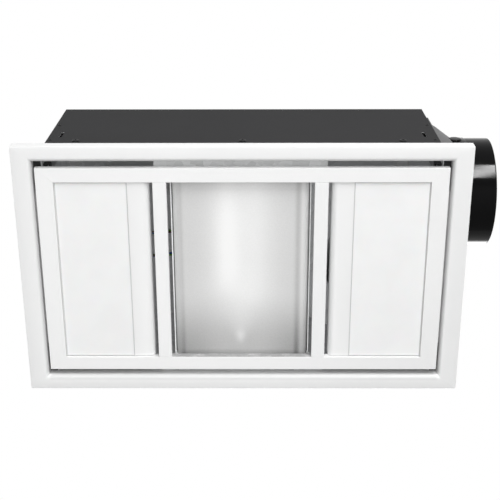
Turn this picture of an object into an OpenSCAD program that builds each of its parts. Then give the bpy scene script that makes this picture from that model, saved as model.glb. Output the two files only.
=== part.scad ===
// Ceiling unit for a bathroom: a central heat lamp behind frosted glass, two flat
// light panels and an exhaust fan that draws through slots in the front and blows
// into a round duct at the side.
// The ceiling's underside is the plane z = 0, and the unit hangs mouth down in it.
// +X points to the duct, -Y is the front side and +Z goes up into the ceiling.

/* [Trim frame] */
// Overall length of the trim, along X
trim_l = 600; // [590:1:640]
// Overall width of the trim, along Y
trim_w = 356; // [350:1:380]
// How far the trim's face hangs below the ceiling
trim_depth = 16; // [14:0.5:20]
// Width of each end rail, with its rolled edge
trim_end_rail = 26.5; // [25:0.5:29]
// Width of each side rail, with its rolled edge
trim_side_rail = 21; // [20:0.5:23]
// Radius of the rolled inner edge
trim_roll = 6; // [3:0.5:7]
// Wall thickness of the trim
trim_wall = 1.8; // [1.4:0.1:2.2]
// How far the screw ledge reaches inside each end rail
trim_ledge = 11; // [10:0.5:12]
// Thickness of the screw ledge
trim_ledge_t = 2; // [1.5:0.1:2.5]
// Distance between the trim screws, along Y
trim_screw_pitch = 200; // [120:1:220]

/* [Casing] */
// How far the casing's end plates stand inside the trim's edge
casing_end_inset = 36; // [35:0.5:38]
// How far the casing's side walls stand inside the trim's edge
casing_side_inset = 10; // [9:0.5:12]
// Height of the casing above the ceiling plane
casing_h = 207; // [204:1:230]
// Thickness of the sheet steel
sheet = 1.2; // [0.8:0.1:1.4]
// Width of the fixing flange at each end
flange_w = 28; // [26:0.5:30]
// Width of the flange along each side
side_flange_w = 7; // [5:0.5:8]
// Radius of the ceiling fixing holes
fixing_r = 2.5; // [2:0.1:3]
// Distance from each end plate to its fixing holes
fixing_inset = 18; // [15:0.5:20]
// Distance between the fixing holes, along Y
fixing_pitch = 280; // [200:1:300]
// Width of the tabs folded in from the end plates
tab_w = 9; // [7:0.5:10]
// Height above the ceiling of the screws in the side walls
wall_screw_z = 42; // [38:0.5:46]
// Radius of the heads of the casing screws
wall_head_r = 5; // [4:0.5:6]
// Height of the heads of the casing screws
wall_head_h = 2.2; // [1.5:0.1:3]
// Radius of the threads of the casing screws
wall_thread_r = 2; // [1.5:0.1:2.4]
// Radius of the heads of the rivets at the casing's corners
rivet_r = 2.6; // [2:0.1:3]
// Length of the upright slots in the side walls
wall_slot_h = 24; // [16:1:30]
// Width of the upright slots in the side walls
wall_slot_w = 4; // [3:0.5:5]
// Height of the middle of the upright slots
wall_slot_z = 74; // [66:1:90]
// Distance from each end plate to its upright slots
wall_slot_inset = 16; // [14:0.5:20]

/* [Floating cover] */
// Gap between the cover and the trim at each end
end_gap = 3; // [2:0.5:4]
// Width of the air slot between the cover and the trim on each side
side_gap = 9; // [7:0.5:11]
// How far the cover's face stands behind the trim's face
cover_recess = 1.6; // [0:0.1:3]
// Depth of the cover's rails
cover_depth = 10; // [8:0.5:11]
// Width of the rails at the ends
cover_end_rail = 23.2; // [22:0.1:25]
// Width of the rails along the sides
cover_side_rail = 19.3; // [18.5:0.1:22]
// Sheet thickness of the rails
cover_wall = 1.5; // [1:0.1:1.8]
// Hairline gap where the rails meet at a corner
mitre_gap = 0.1; // [0.05:0.05:0.2]
// Width of the two bars beside the glass
bar_w = 18; // [14:0.5:20]
// Thickness of the corner keys
key_t = 3; // [2:0.5:3.5]
// Width of the spring legs that hold the cover up
leg_w = 14; // [10:0.5:14]
// Thickness of the spring legs
leg_t = 0.8; // [0.6:0.1:1]
// How far the cover comes down on its legs
cover_travel = 60; // [40:1:60]
// Height of the catches that grip the legs
catch_h = 12; // [8:1:14]
// Running clearance around the legs
leg_gap = 0.3; // [0.3:0.05:0.4]

/* [Heat module] */
// Offset of the glass from the middle of the unit
module_x = -2.1; // [-4:0.1:4]
// Width of the glass
glass_w = 182; // [170:1:184]
// Thickness of the glass
glass_t = 4; // [3:0.5:5]
// Radius of the glass's turned-up long edges
glass_bend = 9; // [7:0.5:11]
// Height of the turned-up edges
glass_rise = 14; // [12:0.5:18]
// Gap between the glass and each bar
glass_gap = 6.35; // [5:0.05:8]
// Height of the heat box's lid
heat_box_top = 48; // [46:0.5:50]
// Thickness of the heat box's sheet
heat_sheet = 1; // [0.8:0.1:1.2]
// Width of the flanges that carry the heat box
heat_flange_w = 229; // [180:1:236]
// Height of the flanges that carry the heat box
heat_flange_z = 4; // [3:0.5:8]
// Radius of the lamp's quartz tube
lamp_r = 6; // [5:0.5:7]
// Length of the lamp's quartz tube
lamp_l = 230; // [200:1:236]
// Height of the lamp's axis
lamp_z = 24; // [20:0.5:26]
// Least length of a lamp holder
holder_l = 20; // [16:0.5:24]
// Depth of the lamp's ends inside the holders
lamp_grip = 2.9; // [2:0.1:4]
// Radius of the thermal cut-out
cutout_r = 8; // [6:0.5:9]

/* [Light panels] */
// Width of the air slot beside each bar
slot_w = 5; // [4.6:0.1:6]
// Width of the vent strips
vent_w = 29; // [24:0.5:32]
// Radius of the rolled edge of the vent strips
vent_roll = 8.5; // [6:0.5:10]
// How far the panels stand behind the cover's face
panel_recess = 3; // [2:0.1:4]
// Thickness of the diffusers
diffuser_t = 2; // [1.5:0.1:3]
// Clearance between the panels and the cover
panel_gap = 0.6; // [0.4:0.1:1]
// Height of the lid of the light trays
tray_top = 9; // [8:0.5:10]
// Thickness of the sheet of the trays and strips
tray_sheet = 1; // [0.8:0.1:1.2]
// Width of the arms that carry the trays
arm_w = 16; // [12:0.5:18]
// Distance of the left arms from the unit's middle
arm_left = 224; // [210:1:230]
// Distance of the right arms from the unit's middle
arm_right = 215; // [205:1:230]
// Thickness of a light board
board_t = 1.6; // [1:0.1:2]

/* [Blower] */
// Distance of the fan's axis from the unit's middle, along X
fan_x = 165; // [160:1:168]
// Distance of the fan's axis from the unit's middle, along Y
fan_y = 12; // [8:1:14]
// Underside of the scroll above the ceiling plane
scroll_z = 56; // [55:0.5:60]
// Depth of the scroll
scroll_h = 80; // [76:0.5:82]
// Radius of the scroll at its tongue
scroll_r0 = 80; // [78:0.5:82]
// Radius of the scroll where it runs into the outlet
scroll_r1 = 140; // [134:0.5:141]
// Width of the scroll's outlet
outlet_w = 100; // [94:1:102]
// Radius of the fan wheel
wheel_r = 72; // [66:0.5:73]
// Depth of the fan wheel's blades
blade_h = 60; // [50:1:62]
// Radial length of a blade
blade_chord = 14; // [10:0.5:16]
// Number of blades
blade_n = 40; // [24:1:44]
// Thickness of a blade
blade_t = 0.8; // [0.6:0.1:1]
// Radius of the scroll's inlet
inlet_r = 56; // [50:0.5:57]
// Radius of the motor's shaft
shaft_r = 4; // [3:0.1:5]
// Radius of the motor's housing
motor_r = 38; // [34:0.5:44]
// Height of the motor's housing
motor_h = 46; // [42:0.5:50]
// Height of the rubber grommets under the motor
grommet_h = 3; // [2:0.5:4]
// Thickness of the motor's bracket
bracket_t = 2; // [1.5:0.1:3]
// Radius of the circle of grommets
grommet_pitch_r = 48; // [47:0.5:52]
// Radius of the bearings
bearing_r = 11; // [10:0.5:12]
// Width of the bearings
bearing_w = 7; // [5:0.5:8]
// Running clearance of the shaft in its bearings
run_gap = 0.05; // [0.02:0.01:0.1]

/* [Duct] */
// Radius of the spigot that the duct slides over
spigot_r = 75; // [74:0.1:76]
// Wall thickness of the spigot
spigot_wall = 2; // [1.6:0.1:2.4]
// Distance of the duct's axis inside the casing's front wall
duct_inset = 90; // [89:0.5:94]
// Height of the duct's axis
duct_z = 96; // [95:0.5:98]
// Radius of the cone at the casing
cone_r = 94; // [92:0.5:95]
// Length of the cone
cone_l = 26; // [25:0.5:28]
// Height of the lower edge of the cone's plate
plate_low = 14; // [12:0.5:16]
// How far the upper corners of the cone's plate are cut off
plate_cut = 32; // [30:0.5:34]
// Length of the spigot
spigot_l = 52; // [50:0.5:60]
// Length of the spigot's thicker root
spigot_root_l = 18; // [17.5:0.5:20]
// How much thicker the root is
spigot_root_t = 0.8; // [0.8:0.1:1.4]
// Thickness of the gasket behind the cone's plate
gasket_t = 1; // [0.5:0.1:2]
// Radius of the damper's rod
rod_r = 2.5; // [2:0.1:3]
// Distance from the spigot's root to the damper's rod
rod_inset = 3.6; // [3.4:0.1:4]
// Radius of the bosses that hold the rod
boss_r = 9.5; // [8:0.5:10]
// Gap between the damper leaves and the spigot
leaf_gap = 1; // [0.6:0.1:2]
// Thickness of the damper leaves
leaf_t = 1; // [0.8:0.1:1.2]

/* [Wiring compartment] */
// Width of the terminal box, along Y
box_w = 126; // [110:1:130]
// Depth of the terminal box, into the casing
box_d = 36; // [30:0.5:42]
// Height of the terminal box
box_h = 62; // [56:0.5:66]
// Distance of the box's middle from the unit's middle, along Y
box_y = 32; // [20:1:36]
// Height of the underside of the terminal box
box_z = 108; // [100:1:115]
// Wall thickness of the terminal box
box_wall = 2; // [1.5:0.1:2.5]
// Width of the opening behind the lid
hatch_w = 76; // [64:1:78]
// Height of the opening behind the lid
hatch_h = 44; // [38:0.5:48]
// How far the lid laps over the plate around the opening
lid_lap = 6; // [5:0.5:8]
// Radius of the cable gland's bore
cable_r = 5; // [4:0.1:5.5]
// Radius of the cable gland's body
gland_r = 8; // [7.5:0.1:9]
// How far the gland stands out of the casing
gland_l = 16; // [12:0.5:20]
// Distance of the gland from the box's middle, along Y
gland_y = 50; // [48:0.5:51]
// Radius of the motor's capacitor
capacitor_r = 16; // [12:0.5:17]
// Height of the motor's capacitor
capacitor_h = 50; // [40:0.5:56]
// Distance of the capacitor from the fan's axis, along X
capacitor_x = 84; // [82:0.5:86]
// Length of the light driver
driver_l = 120; // [90:1:130]
// Width of the light driver
driver_w = 42; // [36:0.5:50]
// Height of the light driver
driver_h = 26; // [20:0.5:30]

/* [Hidden] */
$fn = 64;
eps = 0.01;

// The trim's opening and levels
open_x = trim_l / 2 - trim_end_rail;
open_y = trim_w / 2 - trim_side_rail;
face_z = -trim_depth;
ledge_z = -sheet - trim_ledge_t;

// The casing
case_x = trim_l / 2 - casing_end_inset;
case_y = trim_w / 2 - casing_side_inset;
in_x = case_x - sheet;
in_y = case_y - sheet;
tab_end_gap = 10;
rivet_heights = [48, 120];
rivet_x = case_x - 5;
rivet_head_h = 1;
trim_screw_inset = 5;
trim_screw_x = open_x - trim_screw_inset;
ledge_end = 12;
trim_screw_r = 1.9;
trim_head_r = 3.4;
trim_head_h = 1.5;
screw_gap = 0.15;

// The floating cover
cover_x = open_x - end_gap;
cover_y = open_y - side_gap;
cover_z = face_z + cover_recess;
cover_top = cover_z + cover_depth;
mouth_x = cover_x - cover_end_rail;
mouth_y = cover_y - cover_side_rail;
key_z = cover_z + cover_wall;
key_gap = 0.4;
key_arm = 36;
leg_x = in_x - 7.2;
leg_y = cover_y - cover_wall - key_gap - leg_w / 2 - 0.6;
leg_foot = 7;
hook_t = 0.8;
hook_reach = 2.4;
catch_z = 8;
leg_top = catch_z + catch_h + cover_travel + hook_t + 3.2;
catch_wall = 1.5;
bar_gap = 0.1;
bar_hook = 5;

// The heat module
glass_z = cover_top + 1.4;
glass_y = mouth_y + 2.2;
clip_t = 0.8;
clip_w = 14;
clip_rise = 11;
clip_setback = 0.3;
clip_x = 60;
cutout_x = 50;
cutout_h = 14;
box_in_x = glass_w / 2 + 1.2;
box_in_y = glass_y + 0.4 + clip_t;
heat_x = box_in_x + heat_sheet;
heat_y = box_in_y + heat_sheet;
heat_bottom = glass_z + 1;
reflector_t = 0.8;
reflector_z = glass_z + glass_rise;
reflector_top = heat_box_top - 4;
reflector_flat = 46;
holder_w = 22;
holder_h = 16;
holder_in = min(lamp_l / 2 - lamp_grip, box_in_y - holder_l);
tube_wall = 1;
tube_plug = 6;
filament_r = 1.6;
filament_end = 17;
filament_l = lamp_l - 2 * filament_end;
lead_r = 0.5;

// The light panels
panel_z = cover_z + panel_recess;
panel_y = mouth_y - panel_gap;
arm_z = 35;

// The blower
tongue_a = -30;
throat_a = 270;
scroll_step = 6;
scroll_top = scroll_z + scroll_h;
outlet_near = fan_y - scroll_r1;
outlet_far = outlet_near + outlet_w;
wheel_z = scroll_z + 10;
wheel_top = wheel_z + blade_h;
ring_t = 2;
hub_r = 10;
hub_h = 20;
motor_z = scroll_top + grommet_h + bracket_t;
grommet_r = 6;
motor_wall = 1.5;
rotor_r = 20;
rotor_h = 24;
rotor_z = motor_z + motor_h / 2 - rotor_h / 2;
air_gap = 0.8;
shaft_z0 = wheel_top - hub_h - 2;
shaft_z1 = motor_z + motor_h + 4;
shaft_hole_r = 14;
hanger_w = 20;
hanger_foot = 18;
hanger_spots = [[-92, -34], [30, 96]];
fan_screw_r = 1.6;

// The duct
duct_y = duct_inset - case_y;
outlet_r = 84;
plate_rim = 2;
plate_far = duct_y + cone_r + plate_rim;
plate_high = duct_z + cone_r + plate_rim;
cone_x = case_x + gasket_t;
spigot_x = case_x + gasket_t + cone_l;
rod_x = spigot_x + rod_inset;
duct_hole_r = 78;
duct_screw_inset = 8;
high_screw_y = cone_r - 25;
high_screw_z = cone_r - 20;
duct_screw_r = 2;
duct_head_r = 4.5;
duct_head_h = 2.4;
boss_h = 2.6;
boss_gap = 0.3;
rod_end_gap = 0.2;
leaf_r = spigot_r - spigot_wall - leaf_gap;
knuckle_r = rod_r + 2;
knuckle_gap = 0.08;
knuckle_l = 16;
inner_knuckle_y = 22;
outer_knuckle_y = 42;
leaf_start = knuckle_r + 0.7;
spring_l = 24;
spring_wall = 1.4;

// The wiring compartment
hatch_y = box_y - 8;
hatch_z = box_z + box_h / 2;
cable_y = box_y + gland_y;
cable_z = box_z + box_h / 2;
lid_t = 2;
block_l = 60;
block_d = 14;
block_h = 18;
capacitor_offset = 8;
capacitor_spot = [fan_x - capacitor_x, fan_y + capacitor_offset];
driver_x = -200;
driver_y = -90;
loom_r = 3;
loom_gap = 0.3;
loom_turn = [driver_x + 80, fan_y + 8, heat_box_top + 44];
loom_drop = 30;

// Places that both sides share
function bar_mid(side) = module_x + side * (glass_w / 2 + glass_gap + bar_w / 2);
function vent_in(side) = bar_mid(side) + side * (bar_w / 2 + slot_w);
function vent_out(side) = vent_in(side) + side * vent_w;
function tray_out(side) = side * (mouth_x - panel_gap);
function arm_mid(side) = side < 0 ? -arm_left : arm_right;

// A block between two opposite corners
module block(low, high) {
    translate(low) cube([for (i = [0:2]) high[i] - low[i]]);
}

// A frame of rectangular section around the origin, between two half sizes
module ring_block(outer_x, outer_y, inner_x, inner_y, z0, z1) {
    difference() {
        block([-outer_x, -outer_y, z0], [outer_x, outer_y, z1]);
        block([-inner_x, -inner_y, z0 - 1], [inner_x, inner_y, z1 + 1]);
    }
}

// The children once for each sign of X and Y
module each_corner() {
    for (sx = [-1, 1]) for (sy = [-1, 1])
        mirror([sx < 0 ? 1 : 0, 0, 0]) mirror([0, sy < 0 ? 1 : 0, 0]) children();
}

// A pan-head screw whose head sits on z = 0, with its thread going up
module pan_screw(head_r, head_h, thread_r, thread_l) {
    difference() {
        union() {
            translate([0, 0, -head_h]) cylinder(r1 = head_r - head_h / 3, r2 = head_r, h = head_h);
            translate([0, 0, -eps]) cylinder(r = thread_r, h = thread_l + eps);
        }
        for (a = [0, 90]) rotate([0, 0, a])
            block([-head_r * 0.55, -0.5, -head_h - 1], [head_r * 0.55, 0.5, -head_h / 2]);
    }
}

/* Casing */

module wall_slots() {
    for (side = [-1, 1])
        translate([side * (case_x - wall_slot_inset), -case_y - 1, wall_slot_z])
            for (up = [-1, 1]) {
                translate([0, 0, up * (wall_slot_h - wall_slot_w) / 2])
                    rotate([-90, 0, 0]) cylinder(d = wall_slot_w, h = sheet + 2);
                block([-wall_slot_w / 2, 0, -(wall_slot_h - wall_slot_w) / 2],
                    [wall_slot_w / 2, sheet + 2, (wall_slot_h - wall_slot_w) / 2]);
            }
}

// A hole along Y through both side walls
module side_wall_hole(x, z, r) {
    translate([x, -case_y - 1, z]) rotate([-90, 0, 0]) cylinder(r = r, h = 2 * case_y + 2);
}

module casing_body() {
    color([0.2, 0.2, 0.21]) difference() {
        union() {
            for (side = [-1, 1]) mirror([0, side < 0 ? 1 : 0, 0]) {
                block([-case_x, in_y, -sheet], [case_x, case_y, casing_h]);
                block([-case_x, in_y, -sheet], [case_x, case_y + side_flange_w, 0]);
            }
            block([-case_x, -case_y, casing_h - sheet], [case_x, case_y, casing_h]);
        }
        wall_slots();
        mirror([0, 1, 0]) wall_slots();
        for (x = [-arm_left, 0, arm_right])
            side_wall_hole(x, wall_screw_z, wall_thread_r + screw_gap);
    }
}

// One end plate with its foot flange and the tabs folded in, on the +X end
module end_plate() {
    difference() {
        union() {
            block([in_x, -in_y, -sheet], [case_x, in_y, casing_h - sheet]);
            block([in_x, -in_y, -sheet], [case_x + eps, in_y, 0]);
            block([case_x, -case_y - side_flange_w, -sheet],
                [case_x + flange_w, case_y + side_flange_w, 0]);
            for (sy = [-1, 1]) mirror([0, sy < 0 ? 1 : 0, 0])
                block([in_x - tab_w, in_y - sheet, tab_end_gap],
                    [in_x, in_y, casing_h - sheet - tab_end_gap]);
            block([in_x - tab_w, -in_y + tab_end_gap, casing_h - 2 * sheet],
                [in_x, in_y - tab_end_gap, casing_h - sheet]);
        }
        for (sy = [-1, 1]) {
            translate([case_x + fixing_inset, sy * fixing_pitch / 2, -sheet - 1])
                cylinder(r = fixing_r, h = sheet + 2);
            translate([trim_screw_x, sy * trim_screw_pitch / 2, -sheet - 1])
                cylinder(r = trim_screw_r + screw_gap, h = sheet + 2);
        }
    }
}

module end_plate_left() {
    color([0.2, 0.2, 0.21]) difference() {
        mirror([1, 0, 0]) end_plate();
        block([-case_x - 1, hatch_y - hatch_w / 2, hatch_z - hatch_h / 2],
            [-in_x + 1, hatch_y + hatch_w / 2, hatch_z + hatch_h / 2]);
        translate([-case_x - 1, cable_y, cable_z]) rotate([0, 90, 0])
            cylinder(r = gland_r + screw_gap, h = sheet + 2);
    }
}

module end_plate_right() {
    color([0.2, 0.2, 0.21]) difference() {
        end_plate();
        translate([in_x - 1, duct_y, duct_z]) rotate([0, 90, 0])
            cylinder(r = duct_hole_r, h = sheet + 2);
        duct_screw_spots() translate([0, 0, in_x - 1])
            cylinder(r = duct_screw_r + screw_gap, h = sheet + 2);
    }
}

module casing_screws() {
    color([0.12, 0.12, 0.12])
        for (sy = [-1, 1]) for (x = [-arm_left, 0, arm_right])
            mirror([0, sy > 0 ? 1 : 0, 0]) translate([x, -case_y, wall_screw_z])
                rotate([-90, 0, 0]) pan_screw(wall_head_r, wall_head_h, wall_thread_r,
                    sheet + heat_sheet + 3);
}

// Pop rivets through the side walls and the end plates' tabs
module casing_rivets() {
    color([0.12, 0.12, 0.12])
        for (sx = [-1, 1]) for (sy = [-1, 1]) for (z = rivet_heights)
            mirror([0, sy > 0 ? 1 : 0, 0]) translate([sx * rivet_x, -case_y, z])
                rotate([-90, 0, 0]) translate([0, 0, -rivet_head_h])
                    cylinder(r1 = rivet_r * 0.6, r2 = rivet_r, h = rivet_head_h);
}

/* Trim frame */

// The rolled edge and inner wall, seen along a rail: x runs out from the opening, y is z
module trim_lip() {
    difference() {
        union() {
            square([trim_roll, trim_roll]);
            square([trim_wall, trim_depth - sheet]);
        }
        corner_waste(trim_roll);
        translate([trim_wall, trim_wall]) difference() {
            square([trim_roll, trim_roll]);
            corner_waste(trim_roll - trim_wall);
        }
    }
}

// What rounding the corner at the origin takes away
module corner_waste(r) {
    difference() {
        square([r, r]);
        translate([r, r]) circle(r = r);
    }
}

// A profile carried round the opening with 45 degree corners
module carry_round(half_x, half_y, reach, height) {
    for (turn = [0:3]) rotate([0, 0, turn * 90]) {
        along = turn % 2 == 0 ? half_y : half_x;
        out = turn % 2 == 0 ? half_x : half_y;
        intersection() {
            translate([out, along + reach, 0]) rotate([90, 0, 0])
                linear_extrude(2 * (along + reach)) children();
            translate([0, 0, -1]) linear_extrude(height + 2)
                polygon([[out, -along], [out + reach, -along - reach],
                    [out + reach, along + reach], [out, along]]);
        }
    }
}

module trim_frame() {
    outer_x = trim_l / 2;
    outer_y = trim_w / 2;
    color([0.94, 0.94, 0.93]) difference() {
        union() {
            ring_block(outer_x, outer_y, outer_x - trim_wall, outer_y - trim_wall, face_z, 0);
            ring_block(outer_x, outer_y, open_x + trim_roll, open_y + trim_roll,
                face_z, face_z + trim_wall);
            translate([0, 0, face_z])
                carry_round(open_x, open_y, trim_roll, trim_depth) trim_lip();
            for (sx = [-1, 1]) mirror([sx < 0 ? 1 : 0, 0, 0])
                block([open_x - trim_ledge, -trim_screw_pitch / 2 - ledge_end, ledge_z],
                    [open_x + trim_wall, trim_screw_pitch / 2 + ledge_end, -sheet]);
        }
        trim_screw_spots() {
            translate([0, 0, ledge_z - 1])
                cylinder(r = trim_screw_r + screw_gap, h = trim_ledge_t + 2);
            translate([0, 0, ledge_z])
                cylinder(r1 = trim_head_r + screw_gap, r2 = trim_screw_r + screw_gap,
                    h = trim_head_h);
        }
    }
}

module trim_screw_spots() {
    for (sx = [-1, 1]) for (sy = [-1, 1])
        translate([sx * trim_screw_x, sy * trim_screw_pitch / 2, 0]) children();
}

// Countersunk screws, flush with the ledge, that hold the trim to the end plates
module trim_screws() {
    color([0.75, 0.75, 0.76]) trim_screw_spots() translate([0, 0, ledge_z]) difference() {
        union() {
            cylinder(r1 = trim_head_r, r2 = trim_screw_r, h = trim_head_h);
            cylinder(r = trim_screw_r, h = trim_ledge_t + sheet + 4);
        }
        for (a = [0, 90]) rotate([0, 0, a]) block([-2, -0.4, -1], [2, 0.4, 0.8]);
    }
}

/* Floating cover */

// A rail's channel: face below, a wall at each edge, open above
module channel(low, high) {
    difference() {
        block([low[0], low[1], cover_z], [high[0], high[1], cover_top]);
        block([low[0] + (high[0] - low[0] < high[1] - low[1] ? cover_wall : -1),
                low[1] + (high[0] - low[0] < high[1] - low[1] ? -1 : cover_wall),
                cover_z + cover_wall],
            [high[0] - (high[0] - low[0] < high[1] - low[1] ? cover_wall : -1),
                high[1] - (high[0] - low[0] < high[1] - low[1] ? -1 : cover_wall),
                cover_top + 1]);
    }
}

// Rail across an end, on the +X end, cut to its mitres
module end_rail() {
    color([0.95, 0.95, 0.95]) intersection() {
        channel([mouth_x, -cover_y], [cover_x, cover_y]);
        translate([0, 0, cover_z - 1]) linear_extrude(cover_depth + 2)
            polygon([[mouth_x, -mouth_y], [cover_x, -cover_y], [cover_x, cover_y],
                [mouth_x, mouth_y]]);
    }
}

// Rail along a side, on the +Y side, cut to its mitres
module side_rail() {
    color([0.95, 0.95, 0.95]) intersection() {
        channel([-cover_x, mouth_y], [cover_x, cover_y]);
        translate([0, 0, cover_z - 1]) linear_extrude(cover_depth + 2)
            polygon([[-mouth_x + mitre_gap, mouth_y], [mouth_x - mitre_gap, mouth_y],
                [cover_x - mitre_gap, cover_y], [-cover_x + mitre_gap, cover_y]]);
    }
}

module cover_rail_front() { mirror([0, 1, 0]) side_rail(); }
module cover_rail_back() { side_rail(); }
module cover_rail_left() { mirror([1, 0, 0]) end_rail(); }
module cover_rail_right() { end_rail(); }

// Angle pieces inside the channels that tie the rails together
module corner_keys() {
    inset = cover_wall + key_gap;
    color([0.6, 0.6, 0.62]) each_corner() {
        block([mouth_x + inset, cover_y - inset - key_arm, key_z],
            [cover_x - inset, cover_y - inset, key_z + key_t]);
        block([cover_x - inset - key_arm, mouth_y + inset, key_z],
            [mouth_x + inset + eps, cover_y - inset, key_z + key_t]);
    }
}

// Box-section bar beside the glass, with a hook over the rail at each end
module bar(side) {
    x0 = bar_mid(side) - bar_w / 2;
    x1 = bar_mid(side) + bar_w / 2;
    end_y = mouth_y - bar_gap;
    hook_y = mouth_y + cover_wall + bar_gap;
    color([0.95, 0.95, 0.95]) {
        difference() {
            block([x0, -end_y, cover_z], [x1, end_y, cover_top]);
            block([x0 + cover_wall, -end_y + cover_wall, cover_z + cover_wall],
                [x1 - cover_wall, end_y - cover_wall, cover_top + 1]);
        }
        for (sy = [-1, 1]) mirror([0, sy < 0 ? 1 : 0, 0]) {
            block([x0 + 2, end_y - bar_hook, cover_top],
                [x1 - 2, hook_y + tray_sheet, cover_top + tray_sheet]);
            block([x0 + 2, hook_y, cover_z + cover_wall],
                [x1 - 2, hook_y + tray_sheet, cover_top + tray_sheet]);
        }
    }
}

module bar_left() { bar(-1); }
module bar_right() { bar(1); }

// Flat spring legs that stand on the corner keys, each with a stop bent out at its top
module cover_legs() {
    foot_z = key_z + key_t;
    color([0.7, 0.7, 0.72]) each_corner() {
        block([leg_x, leg_y - leg_w / 2, foot_z], [leg_x + leg_t, leg_y + leg_w / 2, leg_top]);
        block([leg_x - leg_foot, leg_y - leg_w / 2, foot_z],
            [leg_x + leg_t, leg_y + leg_w / 2, foot_z + leg_t]);
        block([leg_x, leg_y - leg_w / 2, leg_top - hook_t],
            [leg_x + leg_t + hook_reach, leg_y + leg_w / 2, leg_top]);
    }
}

// Guides on the end plates that the legs slide in
module cover_catches() {
    reach = leg_gap + catch_wall;
    color([0.3, 0.3, 0.31]) each_corner() difference() {
        block([leg_x - reach, leg_y - leg_w / 2 - reach, catch_z],
            [in_x, leg_y + leg_w / 2 + reach, catch_z + catch_h]);
        block([leg_x - leg_gap, leg_y - leg_w / 2 - leg_gap, catch_z - 1],
            [leg_x + leg_t + leg_gap, leg_y + leg_w / 2 + leg_gap, catch_z + catch_h + 1]);
    }
}

/* Heat module */

module heat_box() {
    half = heat_flange_w / 2;
    color([0.72, 0.73, 0.74]) translate([module_x, 0, 0]) difference() {
        union() {
            block([-heat_x, -heat_y, heat_bottom], [heat_x, heat_y, heat_box_top]);
            for (sy = [-1, 1]) mirror([0, sy < 0 ? 1 : 0, 0]) {
                block([-half, heat_y - heat_sheet, heat_flange_z],
                    [half, in_y, heat_flange_z + heat_sheet]);
                block([-half, in_y - heat_sheet, heat_flange_z],
                    [half, in_y, wall_screw_z + 8]);
            }
        }
        block([-box_in_x, -box_in_y, heat_bottom - 1],
            [box_in_x, box_in_y, heat_box_top - heat_sheet]);
        side_wall_hole(-module_x, wall_screw_z, wall_thread_r + screw_gap);
    }
}

// Polished sheet folded to a shallow trough over the lamp, with side flanges
module reflector() {
    t = reflector_t;
    top = reflector_top;
    flange_in = box_in_x - 8;
    color([0.86, 0.87, 0.88]) translate([module_x, box_in_y, 0]) rotate([90, 0, 0])
        linear_extrude(2 * box_in_y) polygon([[-box_in_x, reflector_z],
            [-flange_in, reflector_z], [-reflector_flat, top - t], [reflector_flat, top - t],
            [flange_in, reflector_z], [box_in_x, reflector_z], [box_in_x, reflector_z + t],
            [flange_in + t / 2, reflector_z + t], [reflector_flat + t / 2, top],
            [-reflector_flat - t / 2, top], [-flange_in - t / 2, reflector_z + t],
            [-box_in_x, reflector_z + t]]);
}

module along_lamp(length, r) {
    translate([module_x, length / 2, lamp_z]) rotate([90, 0, 0]) cylinder(r = r, h = length);
}

module heat_lamp() {
    color([0.9, 0.9, 0.88, 0.5]) difference() {
        along_lamp(lamp_l, lamp_r);
        along_lamp(lamp_l - 2 * tube_plug, lamp_r - tube_wall);
    }
}

module lamp_filament() {
    color([0.45, 0.42, 0.4]) {
        along_lamp(filament_l, filament_r);
        along_lamp(lamp_l - 2 * tube_plug, lead_r);
    }
}

module lamp_holders() {
    color([0.93, 0.92, 0.88]) for (sy = [-1, 1]) mirror([0, sy < 0 ? 1 : 0, 0]) difference() {
        translate([module_x, 0, 0])
            block([-holder_w / 2, holder_in, lamp_z - holder_h / 2],
                [holder_w / 2, box_in_y, lamp_z + holder_h / 2]);
        along_lamp(lamp_l + 0.4, lamp_r + screw_gap);
    }
}

// A shallow trough of glass: flat face, long edges turned up
module glass_panel() {
    color([0.88, 0.9, 0.9, 0.6]) translate([module_x, glass_y, glass_z]) rotate([90, 0, 0])
        linear_extrude(2 * glass_y) difference() {
            rounded_foot(glass_w / 2, glass_rise, glass_bend);
            translate([0, glass_t])
                rounded_foot(glass_w / 2 - glass_t, glass_rise, glass_bend - glass_t);
        }
}

// An upright rectangle on y = 0 with its two lower corners rounded
module rounded_foot(half_w, rise, bend) {
    difference() {
        translate([-half_w, 0]) square([2 * half_w, rise]);
        for (side = [-1, 1]) mirror([side < 0 ? 1 : 0, 0]) difference() {
            translate([half_w - bend, -1]) square([bend + 1, bend + 1]);
            translate([half_w - bend, bend]) circle(r = bend);
        }
    }
}

// Angles that carry the ends of the glass
module glass_clips() {
    color([0.7, 0.7, 0.72]) translate([module_x, 0, 0]) each_corner() {
        block([clip_x - clip_w / 2, mouth_y + clip_setback, glass_z - clip_t],
            [clip_x + clip_w / 2, box_in_y, glass_z]);
        block([clip_x - clip_w / 2, box_in_y - clip_t, glass_z - clip_t],
            [clip_x + clip_w / 2, box_in_y, glass_z + clip_rise]);
    }
}

module thermal_cutout() {
    color([0.15, 0.15, 0.15]) translate([module_x - cutout_x, 0, heat_box_top]) {
        cylinder(r = cutout_r, h = 6);
        block([-cutout_r - 5, -3, 0], [cutout_r + 5, 3, 1]);
        for (side = [-1, 1]) block([side * 4 - 0.4, -2.5, 5], [side * 4 + 0.4, 2.5, cutout_h]);
    }
}

/* Light panels */

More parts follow.
